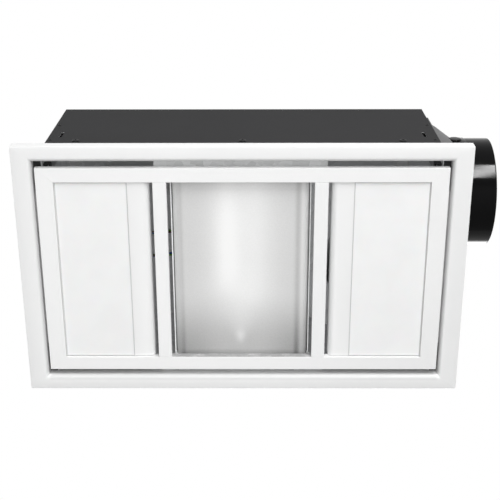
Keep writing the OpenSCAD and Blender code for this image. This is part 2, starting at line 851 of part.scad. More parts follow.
module light_tray(side) {
    low_x = min(tray_out(side), vent_out(side));
    high_x = max(tray_out(side), vent_out(side));
    x = arm_mid(side);
    t = tray_sheet;
    color([0.25, 0.25, 0.26]) difference() {
        union() {
            block([low_x, -panel_y, panel_z], [high_x, panel_y, tray_top]);
            for (sy = [-1, 1]) mirror([0, sy < 0 ? 1 : 0, 0]) {
                block([x - arm_w / 2, panel_y - t, tray_top - t],
                    [x + arm_w / 2, panel_y, arm_z + t]);
                block([x - arm_w / 2, panel_y - t, arm_z], [x + arm_w / 2, in_y, arm_z + t]);
                block([x - arm_w / 2, in_y - t, arm_z],
                    [x + arm_w / 2, in_y, wall_screw_z + 8]);
            }
        }
        block([low_x + t, -panel_y + t, panel_z - 1], [high_x - t, panel_y - t, tray_top - t]);
        side_wall_hole(x, wall_screw_z, wall_thread_r + screw_gap);
    }
}

module light_tray_left() { light_tray(-1); }
module light_tray_right() { light_tray(1); }

// The flat board of lamps under the tray's lid
module light_board(side) {
    low_x = min(tray_out(side), vent_out(side)) + tray_sheet + 2;
    high_x = max(tray_out(side), vent_out(side)) - tray_sheet - 2;
    top = tray_top - tray_sheet;
    color([0.92, 0.92, 0.85]) {
        block([low_x, -panel_y + 8, top - board_t], [high_x, panel_y - 8, top]);
        for (i = [0:2]) for (j = [-5:5])
            translate([low_x + (high_x - low_x) * (i + 0.5) / 3, j * (panel_y - 16) / 5.5,
                    top - board_t - 0.8])
                block([-1.75, -1.4, 0], [1.75, 1.4, 0.8 + eps]);
    }
}

module light_board_left() { light_board(-1); }
module light_board_right() { light_board(1); }

// The opal panel, with a rim that runs up inside the tray
module diffuser(side) {
    low_x = min(tray_out(side), vent_out(side)) + tray_sheet + 0.1;
    high_x = max(tray_out(side), vent_out(side)) - tray_sheet - 0.1;
    half_y = panel_y - tray_sheet - 0.1;
    color([0.97, 0.97, 0.96]) difference() {
        block([low_x, -half_y, panel_z], [high_x, half_y, panel_z + diffuser_t + 6]);
        block([low_x + 1.2, -half_y + 1.2, panel_z + diffuser_t],
            [high_x - 1.2, half_y - 1.2, panel_z + diffuser_t + 7]);
    }
}

module diffuser_left() { diffuser(-1); }
module diffuser_right() { diffuser(1); }

// Folded strip beside each air slot: flat, then rolled up along the slot
module vent_strip(side) {
    t = tray_sheet;
    mirror([side < 0 ? 1 : 0, 0, 0]) color([0.95, 0.95, 0.95])
        translate([side * vent_out(side), panel_y, panel_z]) rotate([90, 0, 0])
            mirror([1, 0, 0]) linear_extrude(2 * panel_y) {
                square([vent_w - vent_roll + eps, t]);
                square([t, tray_top - panel_z]);
                translate([vent_w - t, vent_roll - eps])
                    square([t, tray_top - panel_z - vent_roll + eps]);
                intersection() {
                    translate([vent_w - vent_roll, vent_roll]) difference() {
                        circle(r = vent_roll);
                        circle(r = vent_roll - t);
                    }
                    translate([vent_w - vent_roll, 0]) square(vent_roll);
                }
            }
}

module vent_strip_left() { vent_strip(-1); }
module vent_strip_right() { vent_strip(1); }

/* Blower */

// Outline of the scroll: a steady spiral from the tongue round to the outlet
function scroll_r(a) = scroll_r0
    + (scroll_r1 - scroll_r0) * (a - tongue_a) / (throat_a - tongue_a);

module scroll_outline(grow) {
    translate([fan_x, fan_y]) {
        polygon(concat([[0, 0]], [for (a = [tongue_a:scroll_step:throat_a])
            (scroll_r(a) + grow) * [cos(a), sin(a)]]));
        circle(r = scroll_r0 + grow);
    }
    translate([fan_x, outlet_near - grow]) square([in_x - fan_x, outlet_w + 2 * grow]);
}

module scroll_body() {
    color([0.24, 0.24, 0.25]) difference() {
        union() {
            translate([0, 0, scroll_z + sheet]) linear_extrude(scroll_h - sheet)
                scroll_outline(sheet);
            translate([in_x - sheet, duct_y, duct_z]) rotate([0, 90, 0])
                cylinder(r = outlet_r, h = sheet);
        }
        translate([0, 0, scroll_z - 1]) linear_extrude(scroll_h + 1 - sheet) scroll_outline(0);
        block([in_x - 2, outlet_near, scroll_z + sheet], [in_x + 1, outlet_far, scroll_top - sheet]);
        translate([fan_x, fan_y, scroll_top - 5]) cylinder(r = shaft_hole_r, h = 10);
    }
}

module scroll_inlet_plate() {
    color([0.24, 0.24, 0.25]) difference() {
        union() {
            translate([0, 0, scroll_z]) linear_extrude(sheet) difference() {
                scroll_outline(sheet);
                translate([in_x - sheet - 0.1, outlet_near - 2 * sheet])
                    square([4, outlet_w + 4 * sheet]);
            }
            translate([fan_x, fan_y, scroll_z]) cylinder(r = inlet_r + 2, h = 7);
        }
        translate([fan_x, fan_y, scroll_z - 1]) cylinder(r = inlet_r, h = 10);
    }
}

// A forward-curved blade as a thin bow, by its place on the wheel
module blade_outline() {
    steps = 4;
    bow = 10;
    inner = wheel_r - blade_chord;
    function spot(i, t) = let (f = i / steps, r = inner + (blade_chord - 0.4) * f,
        a = bow * f * f) [(r + t) * cos(a), (r + t) * sin(a)];
    function side_spot(i) = let (f = i / steps, r = inner + (blade_chord - 0.4) * f,
        a = bow * f * f + blade_t / r * 180 / PI) [r * cos(a), r * sin(a)];
    polygon(concat([for (i = [0:steps]) spot(i, 0)],
        [for (i = [steps:-1:0]) side_spot(i)]));
}

module fan_wheel() {
    color([0.5, 0.52, 0.54]) translate([fan_x, fan_y, 0]) difference() {
        union() {
            translate([0, 0, wheel_top - eps]) cylinder(r = wheel_r, h = ring_t);
            translate([0, 0, wheel_z - ring_t]) difference() {
                cylinder(r = wheel_r, h = ring_t + eps);
                translate([0, 0, -1]) cylinder(r = wheel_r - blade_chord, h = ring_t + 3);
            }
            translate([0, 0, wheel_z]) linear_extrude(blade_h)
                for (i = [0:blade_n - 1]) rotate([0, 0, i * 360 / blade_n]) blade_outline();
            translate([0, 0, wheel_top + ring_t - hub_h]) cylinder(r = hub_r, h = hub_h);
        }
        translate([0, 0, wheel_top - hub_h - 5]) cylinder(r = shaft_r, h = hub_h + 10);
    }
}

module at_fan(z) {
    translate([fan_x, fan_y, z]) children();
}

module motor_housing() {
    color([0.3, 0.31, 0.33]) at_fan(motor_z) difference() {
        cylinder(r = motor_r, h = motor_h);
        translate([0, 0, bearing_w]) cylinder(r = motor_r - motor_wall, h = motor_h - 2 * bearing_w);
        translate([0, 0, -1]) cylinder(r = bearing_r + run_gap, h = motor_h + 2);
        for (z = [motor_wall, motor_h - bearing_w - eps]) translate([0, 0, z]) difference() {
            cylinder(r = motor_r - motor_wall, h = bearing_w - motor_wall + eps);
            translate([0, 0, -1]) cylinder(r = bearing_r + 3, h = bearing_w + 2);
        }
    }
}

module motor_windings() {
    color([0.72, 0.4, 0.2]) at_fan(rotor_z) difference() {
        union() {
            cylinder(r = motor_r - motor_wall - run_gap, h = rotor_h);
            translate([0, 0, -5]) cylinder(r = motor_r - 6, h = rotor_h + 10);
        }
        translate([0, 0, -6]) cylinder(r = rotor_r + air_gap, h = rotor_h + 12);
    }
}

module motor_rotor() {
    color([0.55, 0.56, 0.58]) at_fan(rotor_z) difference() {
        cylinder(r = rotor_r, h = rotor_h);
        translate([0, 0, -1]) cylinder(r = shaft_r, h = rotor_h + 2);
    }
}

module motor_shaft() {
    color([0.8, 0.8, 0.82]) at_fan(shaft_z0) cylinder(r = shaft_r, h = shaft_z1 - shaft_z0);
}

module motor_bearings() {
    color([0.75, 0.76, 0.78]) for (z = [motor_z, motor_z + motor_h - bearing_w]) at_fan(z)
        difference() {
            cylinder(r = bearing_r, h = bearing_w);
            translate([0, 0, -1]) cylinder(r = shaft_r + run_gap, h = bearing_w + 2);
        }
}

module grommet_spots() {
    for (a = [90, 210, 330]) translate([fan_x + grommet_pitch_r * cos(a),
        fan_y + grommet_pitch_r * sin(a), 0]) children();
}

// Three-armed plate that carries the motor on its grommets
module motor_bracket() {
    color([0.6, 0.61, 0.62]) translate([0, 0, scroll_top + grommet_h]) difference() {
        union() {
            at_fan(0) cylinder(r = motor_r + 2, h = bracket_t);
            for (a = [90, 210, 330]) at_fan(0) rotate([0, 0, a])
                block([0, -8, 0], [grommet_pitch_r, 8, bracket_t]);
            grommet_spots() cylinder(r = 8, h = bracket_t);
        }
        translate([0, 0, -1]) {
            at_fan(0) cylinder(r = bearing_r + 4, h = bracket_t + 2);
            grommet_spots() cylinder(r = fan_screw_r + screw_gap, h = bracket_t + 2);
        }
    }
}

module motor_grommets() {
    color([0.1, 0.1, 0.1]) grommet_spots() translate([0, 0, scroll_top]) difference() {
        cylinder(r = grommet_r, h = grommet_h);
        translate([0, 0, -1]) cylinder(r = fan_screw_r + screw_gap, h = grommet_h + 2);
    }
}

module motor_screws() {
    color([0.75, 0.75, 0.76]) grommet_spots()
        translate([0, 0, scroll_top + grommet_h + bracket_t]) mirror([0, 0, 1])
            pan_screw(4, 2, fan_screw_r, grommet_h + bracket_t);
}

// Z-shaped straps from the casing's lid down to the scroll
module blower_hangers() {
    lid = casing_h - sheet;
    color([0.6, 0.61, 0.62]) for (spot = hanger_spots)
        translate([fan_x + spot[0], fan_y + spot[1], 0]) {
            block([0, -hanger_w / 2, scroll_top], [heat_sheet, hanger_w / 2, lid]);
            block([0, -hanger_w / 2, scroll_top],
                [hanger_foot, hanger_w / 2, scroll_top + heat_sheet]);
            block([-hanger_foot, -hanger_w / 2, lid - heat_sheet],
                [heat_sheet, hanger_w / 2, lid]);
        }
}

/* Duct */

module along_duct(x) {
    translate([x, duct_y, duct_z]) rotate([0, 90, 0]) children();
}

// The cone's plate, flush with the casing's front wall and clear of the ceiling's edge
module duct_plate(low_x, high_x) {
    translate([low_x, 0, 0]) rotate([90, 0, 90]) linear_extrude(high_x - low_x)
        polygon([[-case_y, plate_low], [plate_far, plate_low],
            [plate_far, plate_high - plate_cut], [plate_far - plate_cut, plate_high],
            [plate_cut - case_y, plate_high], [-case_y, plate_high - plate_cut]]);
}

// The four screw places of the cone's plate, with local Z along +X
module duct_screw_spots() {
    for (spot = [
        [duct_y - high_screw_y, duct_z + high_screw_z],
        [duct_y + high_screw_y, duct_z + high_screw_z],
        [-case_y + duct_screw_inset, plate_low + duct_screw_inset],
        [plate_far - duct_screw_inset, plate_low + duct_screw_inset]
    ])
        translate([0, spot[0], spot[1]]) rotate([0, 90, 0]) children();
}

// A round bar on the line of the damper's rod, across the duct
module rod_line(r, reach) {
    translate([rod_x, duct_y - reach, duct_z]) rotate([-90, 0, 0])
        cylinder(r = r, h = 2 * reach);
}

module duct_gasket() {
    color([0.1, 0.1, 0.1]) difference() {
        duct_plate(case_x, cone_x);
        along_duct(case_x - 1) cylinder(r = duct_hole_r, h = gasket_t + 2);
        duct_screw_spots() translate([0, 0, case_x - 1])
            cylinder(r = duct_screw_r + screw_gap, h = gasket_t + 2);
    }
}

// Plate and cone, which is cut flat at the plate's edges and hollowed for the rod's bosses
module duct_transition() {
    color([0.28, 0.28, 0.29]) difference() {
        union() {
            duct_plate(cone_x, cone_x + sheet);
            intersection() {
                along_duct(cone_x) cylinder(r1 = cone_r, r2 = spigot_r, h = cone_l);
                duct_plate(cone_x, spigot_x);
            }
        }
        difference() {
            rod_line(boss_r + boss_gap, cone_r);
            along_duct(cone_x) cylinder(r = spigot_r - spigot_wall - boss_gap, h = cone_l + 1);
        }
        along_duct(cone_x - eps)
            cylinder(r1 = duct_hole_r, r2 = spigot_r - spigot_wall - 3, h = cone_l + 2 * eps);
        duct_screw_spots() translate([0, 0, cone_x - 1])
            cylinder(r = duct_screw_r + screw_gap, h = sheet + 2);
    }
}

module duct_screws() {
    color([0.12, 0.12, 0.12]) duct_screw_spots() translate([0, 0, cone_x + sheet])
        mirror([0, 0, 1]) pan_screw(duct_head_r, duct_head_h, duct_screw_r,
            2 * sheet + gasket_t + 3);
}

// Round black spigot with a thicker root and the two bosses of the damper's rod
module duct_spigot() {
    inner = spigot_r - spigot_wall;
    color([0.05, 0.05, 0.05]) difference() {
        union() {
            along_duct(spigot_x) cylinder(r = spigot_r, h = spigot_l, $fn = 96);
            along_duct(spigot_x) cylinder(r = spigot_r + spigot_root_t, h = spigot_root_l);
            rod_line(boss_r, spigot_r + boss_h);
        }
        along_duct(spigot_x - boss_r) cylinder(r = inner, h = boss_r + spigot_l + 1);
        rod_line(rod_r + knuckle_gap, spigot_r + boss_h / 2);
    }
}

module damper_rod() {
    color([0.8, 0.8, 0.82]) rod_line(rod_r, spigot_r + boss_h / 2 - rod_end_gap);
}

// Half a disc above the rod, with two knuckles at this distance from the duct's axis
module damper_leaf(knuckle_y) {
    difference() {
        union() {
            intersection() {
                translate([rod_x - leaf_t / 2, duct_y, duct_z]) rotate([0, 90, 0])
                    cylinder(r = leaf_r, h = leaf_t);
                block([rod_x - 5, duct_y - leaf_r, duct_z + leaf_start],
                    [rod_x + 5, duct_y + leaf_r, duct_z + leaf_r + 1]);
            }
            for (sy = [-1, 1]) translate([rod_x, duct_y + sy * knuckle_y, duct_z]) {
                translate([0, -knuckle_l / 2, 0]) rotate([-90, 0, 0])
                    cylinder(r = knuckle_r, h = knuckle_l);
                block([-leaf_t / 2, -knuckle_l / 2, rod_r + 1],
                    [leaf_t / 2, knuckle_l / 2, leaf_start + 1]);
            }
        }
        translate([rod_x, duct_y - leaf_r, duct_z]) rotate([-90, 0, 0])
            cylinder(r = rod_r + knuckle_gap, h = 2 * leaf_r);
    }
}

module damper_leaf_upper() {
    color([0.7, 0.71, 0.72]) damper_leaf(inner_knuckle_y);
}

module damper_leaf_lower() {
    color([0.7, 0.71, 0.72]) translate([0, 0, 2 * duct_z]) mirror([0, 0, 1])
        damper_leaf(outer_knuckle_y);
}

module damper_spring() {
    color([0.75, 0.75, 0.76]) translate([rod_x, duct_y - spring_l / 2, duct_z])
        rotate([-90, 0, 0]) difference() {
            cylinder(r = rod_r + 0.3 + spring_wall, h = spring_l);
            translate([0, 0, -1]) cylinder(r = rod_r + 0.3, h = spring_l + 2);
        }
}

/* Wiring compartment */

module terminal_box() {
    color([0.2, 0.2, 0.2]) difference() {
        block([-in_x, box_y - box_w / 2, box_z], [-in_x + box_d, box_y + box_w / 2, box_z + box_h]);
        block([-in_x - 1, box_y - box_w / 2 + box_wall, box_z + box_wall],
            [-in_x + box_d - box_wall, box_y + box_w / 2 - box_wall, box_z + box_h - box_wall]);
        translate([-in_x + box_d - 5, box_y, box_z + box_h / 2]) rotate([0, 90, 0])
            cylinder(r = loom_r + 0.3, h = 10);
    }
}

module terminal_lid() {
    half_w = hatch_w / 2 + lid_lap;
    half_h = hatch_h / 2 + lid_lap;
    color([0.2, 0.2, 0.21]) translate([-case_x, hatch_y, hatch_z]) {
        block([-lid_t, -half_w, -half_h], [0, half_w, half_h]);
        for (sy = [-1, 1]) translate([-lid_t, sy * (half_w - lid_lap / 2), 0]) rotate([0, 90, 0])
            mirror([0, 0, 1]) cylinder(r1 = 2.6, r2 = 2, h = 1.4);
    }
}

// A row of clamps on the box's floor
module terminal_block() {
    x0 = -in_x + 6;
    color([0.9, 0.9, 0.86]) translate([x0, hatch_y - block_l / 2, box_z + box_wall]) difference() {
        block([0, 0, 0], [block_d, block_l, block_h]);
        for (i = [0:5]) translate([block_d / 2, (i + 0.5) * block_l / 6, block_h - 6])
            cylinder(r = 2.2, h = 7);
        for (i = [1:5]) block([-1, i * block_l / 6 - 0.5, block_h - 4],
            [block_d + 1, i * block_l / 6 + 0.5, block_h + 1]);
    }
}

// Threaded body with a domed nut outside and a lock nut inside
module cable_gland() {
    color([0.08, 0.08, 0.08]) translate([-case_x, cable_y, cable_z]) rotate([0, -90, 0])
        difference() {
            union() {
                translate([0, 0, -sheet - 8]) cylinder(r = gland_r, h = sheet + 8 + gland_l);
                cylinder(r = gland_r + 4, h = 5, $fn = 6);
                translate([0, 0, 6.5]) cylinder(r = gland_r + 3, h = gland_l - 6.5, $fn = 6);
                translate([0, 0, -sheet - 4.5]) cylinder(r = gland_r + 4, h = 4.5, $fn = 6);
            }
            translate([0, 0, -sheet - 9]) cylinder(r = cable_r, h = gland_l + sheet + 10);
        }
}

module earth_stud() {
    color([0.8, 0.65, 0.3]) translate([-in_x, box_y - 55, box_z + box_h + 14]) rotate([0, 90, 0]) {
        cylinder(r = 2.5, h = 16);
        cylinder(r = 5.5, h = 3, $fn = 6);
        translate([0, 0, 8]) cylinder(r = 5, h = 3.5, $fn = 6);
    }
}

module capacitor() {
    color([0.85, 0.85, 0.83]) translate([capacitor_spot[0], capacitor_spot[1], scroll_top]) {
        cylinder(r = capacitor_r, h = capacitor_h);
        translate([0, 0, capacitor_h - eps]) cylinder(r = capacitor_r - 3, h = 4);
        for (side = [-1, 1])
            block([side * 5 - 0.4, -3, capacitor_h + 3], [side * 5 + 0.4, 3, capacitor_h + 11]);
    }
}

module light_driver() {
    lid = casing_h - sheet;
    color([0.93, 0.93, 0.92]) translate([driver_x, driver_y, 0]) {
        block([0, 0, lid - driver_h], [driver_l, driver_w, lid]);
        for (x = [-8, driver_l]) block([x, 6, lid - 3], [x + 8, driver_w - 6, lid]);
    }
}

// Wires gathered in a round loom: corners rounded with balls, on hand-chosen points
module loom_run(points) {
    for (i = [0:len(points) - 2]) {
        a = points[i];
        b = points[i + 1];
        d = b - a;
        translate(a) rotate([0, acos(d[2] / norm(d)), atan2(d[1], d[0])])
            cylinder(r = loom_r, h = norm(d), $fn = 24);
    }
    for (i = [1:len(points) - 2]) translate(points[i]) sphere(r = loom_r + eps, $fn = 24);
}

// From the terminal box to the motor, the light driver and the lamp's cut-out
module wiring_loom() {
    start = [-in_x + box_d - 6, box_y, box_z + box_h / 2];
    knee = start + [26, 0, 0];
    lift = casing_h - sheet - loom_r - loom_gap;
    branch = [driver_x + 20, box_y, lift];
    motor_end = fan_x - motor_r - loom_gap;
    motor_mid = motor_z + motor_h / 2;
    color([0.12, 0.12, 0.12]) {
        loom_run([start, knee, branch, [0, fan_y, lift], [motor_end - 18, fan_y, lift],
            [motor_end - 18, fan_y, motor_mid], [motor_end, fan_y, motor_mid]]);
        loom_run([branch, [branch[0], driver_y + driver_w + loom_gap, lift]]);
        loom_run([knee, loom_turn, [module_x - cutout_x, 0, heat_box_top + loom_drop],
            [module_x - cutout_x, 0, heat_box_top + cutout_h + loom_gap]]);
    }
}

casing_body();
end_plate_left();
end_plate_right();
casing_screws();
casing_rivets();
trim_frame();
trim_screws();
cover_rail_front();
cover_rail_back();
cover_rail_left();
cover_rail_right();
corner_keys();
bar_left();
bar_right();
cover_legs();
cover_catches();
heat_box();
reflector();
heat_lamp();
lamp_filament();
lamp_holders();
glass_panel();
glass_clips();
thermal_cutout();
light_tray_left();
light_tray_right();
light_board_left();
light_board_right();
diffuser_left();
diffuser_right();
vent_strip_left();
vent_strip_right();
scroll_body();
scroll_inlet_plate();
fan_wheel();
motor_housing();
motor_windings();
motor_rotor();
motor_shaft();
motor_bearings();
motor_bracket();
motor_grommets();
motor_screws();
blower_hangers();
duct_gasket();
duct_transition();
duct_screws();
duct_spigot();
damper_rod();
damper_leaf_upper();
damper_leaf_lower();
damper_spring();
terminal_box();
terminal_lid();
terminal_block();
cable_gland();
earth_stud();
capacitor();
light_driver();
wiring_loom();
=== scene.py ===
"""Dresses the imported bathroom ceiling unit: its pieces, their finishes, the studio and the camera."""

import functools
import itertools
import logging
import math
from dataclasses import dataclass
from enum import Enum
from typing import Any, Callable, Sequence

import bmesh
import bpy
from mathutils import Matrix, Vector


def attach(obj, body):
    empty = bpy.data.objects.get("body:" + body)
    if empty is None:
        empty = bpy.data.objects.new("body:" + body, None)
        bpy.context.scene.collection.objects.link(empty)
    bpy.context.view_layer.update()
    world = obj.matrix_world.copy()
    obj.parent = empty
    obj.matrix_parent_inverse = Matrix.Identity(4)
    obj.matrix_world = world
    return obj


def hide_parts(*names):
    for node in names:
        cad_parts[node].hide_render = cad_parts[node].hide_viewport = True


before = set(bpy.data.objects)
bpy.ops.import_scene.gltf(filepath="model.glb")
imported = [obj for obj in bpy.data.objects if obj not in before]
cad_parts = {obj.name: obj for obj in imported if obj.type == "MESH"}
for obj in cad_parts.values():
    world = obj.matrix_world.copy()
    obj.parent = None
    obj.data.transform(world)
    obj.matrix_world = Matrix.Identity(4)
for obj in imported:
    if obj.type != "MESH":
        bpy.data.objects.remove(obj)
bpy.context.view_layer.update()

log = logging.getLogger("ceiling_unit")
MM = 0.001
Color = tuple[float, float, float]
Point = tuple[float, float, float]
Pair = tuple[float, float]
CORNERS = ((-1, -1), (-1, 1), (1, -1), (1, 1))


# Nodes in Python


class Tap:
    """A node's output that takes part in Python arithmetic."""

    def __init__(self, graph: "Graph", socket: bpy.types.NodeSocket) -> None:
        """Keeps the socket and the graph that it belongs to."""
        self.graph = graph
        self.socket = socket

    def __add__(self, other: Any) -> "Tap":
        """Sum."""
        return self.graph.maths("ADD", self, other)

    __radd__ = __add__

    def __sub__(self, other: Any) -> "Tap":
        """Difference."""
        return self.graph.maths("SUBTRACT", self, other)

    def __rsub__(self, other: Any) -> "Tap":
        """Difference from the other side."""
        return self.graph.maths("SUBTRACT", other, self)

    def __mul__(self, other: Any) -> "Tap":
        """Product."""
        return self.graph.maths("MULTIPLY", self, other)

    __rmul__ = __mul__

    def __truediv__(self, other: Any) -> "Tap":
        """Quotient."""
        return self.graph.maths("DIVIDE", self, other)

    def __rtruediv__(self, other: Any) -> "Tap":
        """Quotient from the other side."""
        return self.graph.maths("DIVIDE", other, self)

    def __neg__(self) -> "Tap":
        """The value with its sign turned."""
        return self.graph.maths("MULTIPLY", self, -1.0)

    def __abs__(self) -> "Tap":
        """The value without its sign."""
        return self.graph.maths("ABSOLUTE", self)

    def sine(self) -> "Tap":
        """Sine of the value in radians."""
        return self.graph.maths("SINE", self)

    def least(self, other: Any) -> "Tap":
        """The smaller of two values."""
        return self.graph.maths("MINIMUM", self, other)

    def most(self, other: Any) -> "Tap":
        """The larger of two values."""
        return self.graph.maths("MAXIMUM", self, other)

    def bell(self, middle: float, width: Any) -> "Tap":
        """A bell curve, 1 at the middle."""
        away = (self - middle) / width
        return self.graph.maths("EXPONENT", -(away * away))

    def fade(self, low: float, high: float) -> "Tap":
        """Falls smoothly from 1 at low to 0 at high."""
        return 1 - self.step(low, high)

    def step(self, low: float, high: float) -> "Tap":
        """Rises smoothly from 0 at low to 1 at high.

        Args:
            low: Value at which the rise starts.
            high: Value at which it ends.

        Returns:
            The share of the rise, from 0 to 1.
        """
        sockets = {"Value": self, "From Min": low, "From Max": high}
        node = self.graph.node("ShaderNodeMapRange", sockets, interpolation_type="SMOOTHSTEP")
        return Tap(self.graph, node.outputs["Result"])


class Graph:
    """Adds nodes to one node tree."""

    def __init__(self, tree: bpy.types.NodeTree) -> None:
        """Keeps the tree."""
        self.tree = tree

    def node(self, kind: str, sockets: dict[str, Any] | None = None, **settings: str) -> bpy.types.Node:
        """Adds a node, sets it, and then fills its sockets.

        Args:
            kind: The node's type.
            sockets: Values, taps or sockets, by the input's identifier or name.
            settings: Properties, set before any socket.

        Returns:
            The node.
        """
        node = self.tree.nodes.new(kind)
        for name, choice in settings.items():
            setattr(node, name, choice)
        for name, value in (sockets or {}).items():
            self.fill(node, name, value)
        return node

    def fill(self, node: bpy.types.Node, name: str, value: Any) -> None:
        """Links or sets one input of a node.

        Args:
            node: The node.
            name: The input's identifier, or else its name.
            value: A tap or socket to link, or a plain value.
        """
        found = [s for s in node.inputs if s.identifier == name] or [s for s in node.inputs if s.name == name]
        socket = value.socket if isinstance(value, Tap) else value
        if isinstance(socket, bpy.types.NodeSocket):
            self.tree.links.new(socket, found[0])
        else:
            found[0].default_value = socket

    def maths(self, operation: str, *values: Any) -> Tap:
        """One Math node on taps and numbers."""
        sockets = dict(zip(("Value", "Value_001"), values))
        return Tap(self, self.node("ShaderNodeMath", sockets, operation=operation).outputs[0])

    def join_axes(self, x: Any, y: Any, z: Any) -> Tap:
        """A vector of three values."""
        return Tap(self, self.node("ShaderNodeCombineXYZ", {"X": x, "Y": y, "Z": z}).outputs[0])


class Desk(Graph):
    """Builds one material."""

    def __init__(self, name: str) -> None:
        """Starts a material with its shader and the piece's own coordinates."""
        self.material = bpy.data.materials.new(name)
        self.material.use_nodes = True
        super().__init__(self.material.node_tree)
        self.shader = self.tree.nodes["Principled BSDF"]
        self.place = Tap(self, self.node("ShaderNodeTexCoord").outputs["Object"])

    def axes(self) -> tuple[Tap, Tap, Tap]:
        """The coordinates along X, Y and Z, in metres."""
        node = self.node("ShaderNodeSeparateXYZ", {"Vector": self.place})
        return Tap(self, node.outputs[0]), Tap(self, node.outputs[1]), Tap(self, node.outputs[2])

    def stretched(self, stretch: Color) -> Tap:
        """The coordinates times a factor for each axis."""
        node = self.node("ShaderNodeMapping", {"Vector": self.place, "Scale": stretch})
        return Tap(self, node.outputs[0])

    def noise(self, scale: float, detail: float = 2.0, stretch: Color = (1.0, 1.0, 1.0)) -> Tap:
        """Smooth noise from about 0.3 to 0.7.

        Args:
            scale: Waves in a metre.
            detail: Octaves.
            stretch: Factor on each axis.

        Returns:
            The noise.
        """
        vector = self.place if stretch == (1.0, 1.0, 1.0) else self.stretched(stretch)
        node = self.node("ShaderNodeTexNoise", {"Vector": vector, "Scale": scale, "Detail": detail})
        return Tap(self, node.outputs["Fac"])

    def cells(self, scale: float, output: str = "Distance") -> Tap:
        """The distance or the colour of the cells of a Voronoi pattern, by their number in a metre."""
        node = self.node("ShaderNodeTexVoronoi", {"Vector": self.place, "Scale": scale})
        return Tap(self, node.outputs[output])

    def crystals(self, scale: float) -> Tap:
        """One random value for each cell, such as a crystal of zinc."""
        node = self.node("ShaderNodeSeparateColor", {"Color": self.cells(scale, "Color")})
        return Tap(self, node.outputs[0])

    def mix(self, share: Any, first: Any, second: Any) -> Tap:
        """A colour between two.

        Args:
            share: 0 for the first, 1 for the second.
            first: A colour or a tap.
            second: A colour or a tap.

        Returns:
            The mixed colour.
        """
        pair = [(*c, 1.0) if isinstance(c, tuple) else c for c in (first, second)]
        sockets = {"Factor_Float": share, "A_Color": pair[0], "B_Color": pair[1]}
        node = self.node("ShaderNodeMix", sockets, data_type="RGBA")
        return Tap(self, next(s for s in node.outputs if s.identifier == "Result_Color"))

    def tint(self, share: Any, color: Color, low: float, high: float) -> Tap:
        """A colour that goes from low times itself to high times itself."""
        return self.mix(share, scaled(color, low), scaled(color, high))

    def relief(self, height: Tap, depth: float, strength: float = 1.0) -> None:
        """Raises and sinks the surface by a height map.

        Args:
            height: The map, from 0 to 1.
            depth: Its height in metres.
            strength: How much of it shows.
        """
        node = self.node("ShaderNodeBump", {"Height": height, "Distance": depth, "Strength": strength})
        self.fill(self.shader, "Normal", node.outputs["Normal"])

    def wear(self, **values: Any) -> None:
        """Sets or feeds the shader's sockets.

        Args:
            values: Values or taps, by the socket's name with underscores for its spaces.
        """
        for name, value in values.items():
            socket = name.replace("_", " ").replace("Ior", "IOR")
            self.fill(self.shader, socket, (*value, 1.0) if isinstance(value, tuple) else value)


def scaled(color: Color, factor: float) -> Color:
    """A colour made lighter or darker, kept under 1."""
    return (min(color[0] * factor, 1.0), min(color[1] * factor, 1.0), min(color[2] * factor, 1.0))


# Finishes

CLOUDS, SPECKS, SPANGLES = 7.0, 2600.0, 90.0
BLACK, WHITE = (0.0, 0.0, 0.0), (1.0, 1.0, 1.0)


@dataclass(frozen=True)
class Finish:
    """A surface finish, which builds its material from its own numbers."""

    name: str

    def material(self) -> bpy.types.Material:
        """Builds the material."""
        desk = Desk(self.name)
        self.dress(desk)
        return desk.material

    def dress(self, desk: Desk) -> None:
        """Adds the finish's own nodes."""
        raise NotImplementedError


@dataclass(frozen=True)
class Coating(Finish):
    """Powder coat on metal: faint clouds, fine orange peel and specks of dust."""

    color: Color
    roughness: float = 0.4
    clouds: float = 0.03
    peel: float = 900.0
    depth: float = 0.00002
    level: float = 0.5

    def dress(self, desk: Desk) -> None:
        """Adds the finish's own nodes."""
        cloud, peel = desk.noise(CLOUDS, 4.0), desk.noise(self.peel, 3.0)
        desk.wear(
            Base_Color=self.tone(desk, cloud),
            Roughness=self.roughness + (cloud - 0.5) * 0.12 + (peel - 0.5) * 0.1,
            Specular_Ior_Level=self.level,
        )
        desk.relief(peel, self.depth)

    def tone(self, desk: Desk, cloud: Tap) -> Tap:
        """The colour with its clouds and specks.

        Args:
            desk: The material's desk.
            cloud: The clouds' noise.

        Returns:
            The colour.
        """
        speck = desk.noise(SPECKS, 1.0).step(0.66, 0.74)
        tone = desk.tint(cloud.step(0.3, 0.7), self.color, 1 - self.clouds, 1 + self.clouds)
        return desk.mix(speck * 0.25, tone, scaled(self.color, 0.72))


@dataclass(frozen=True)
class RolledCoating(Coating):
    """The coat of the trim, with painted shade: greyer where the frame rolls up into the air slots."""

    painted_shade_grey: Color = (0.3, 0.3, 0.3)
    # share of painted shade grey mixed in along the rolled lip
    share: float = 0.36
    far_shade_share: float = 0.22
    open_x: float = 0.2735
    open_y: float = 0.157
    roll: float = 0.006

    def tone(self, desk: Desk, cloud: Tap) -> Tap:
        """The coat's colour with painted shade, greyer near the opening. The far roll faces the light and
        gets less painted shade.

        Args:
            desk: The material's desk.
            cloud: The clouds' noise.

        Returns:
            The colour.
        """
        x, y, _ = desk.axes()
        away = (abs(x) - self.open_x).most(-y - self.open_y).most(y - self.open_y + self.roll)
        # lip: mask of painted shade where the roll turns up into the slots
        lip = away.fade(0.0005, self.roll * 0.8)
        # far: mask of lighter painted shade on the far roll
        far = y.step(self.open_y - 0.003, self.open_y) * y.fade(self.open_y + 0.004, self.open_y + 0.009)
        far = far * abs(x).fade(self.open_x - 0.004, self.open_x + 0.002)
        return desk.mix(lip * self.share + far * self.far_shade_share, super().tone(desk, cloud), self.painted_shade_grey)


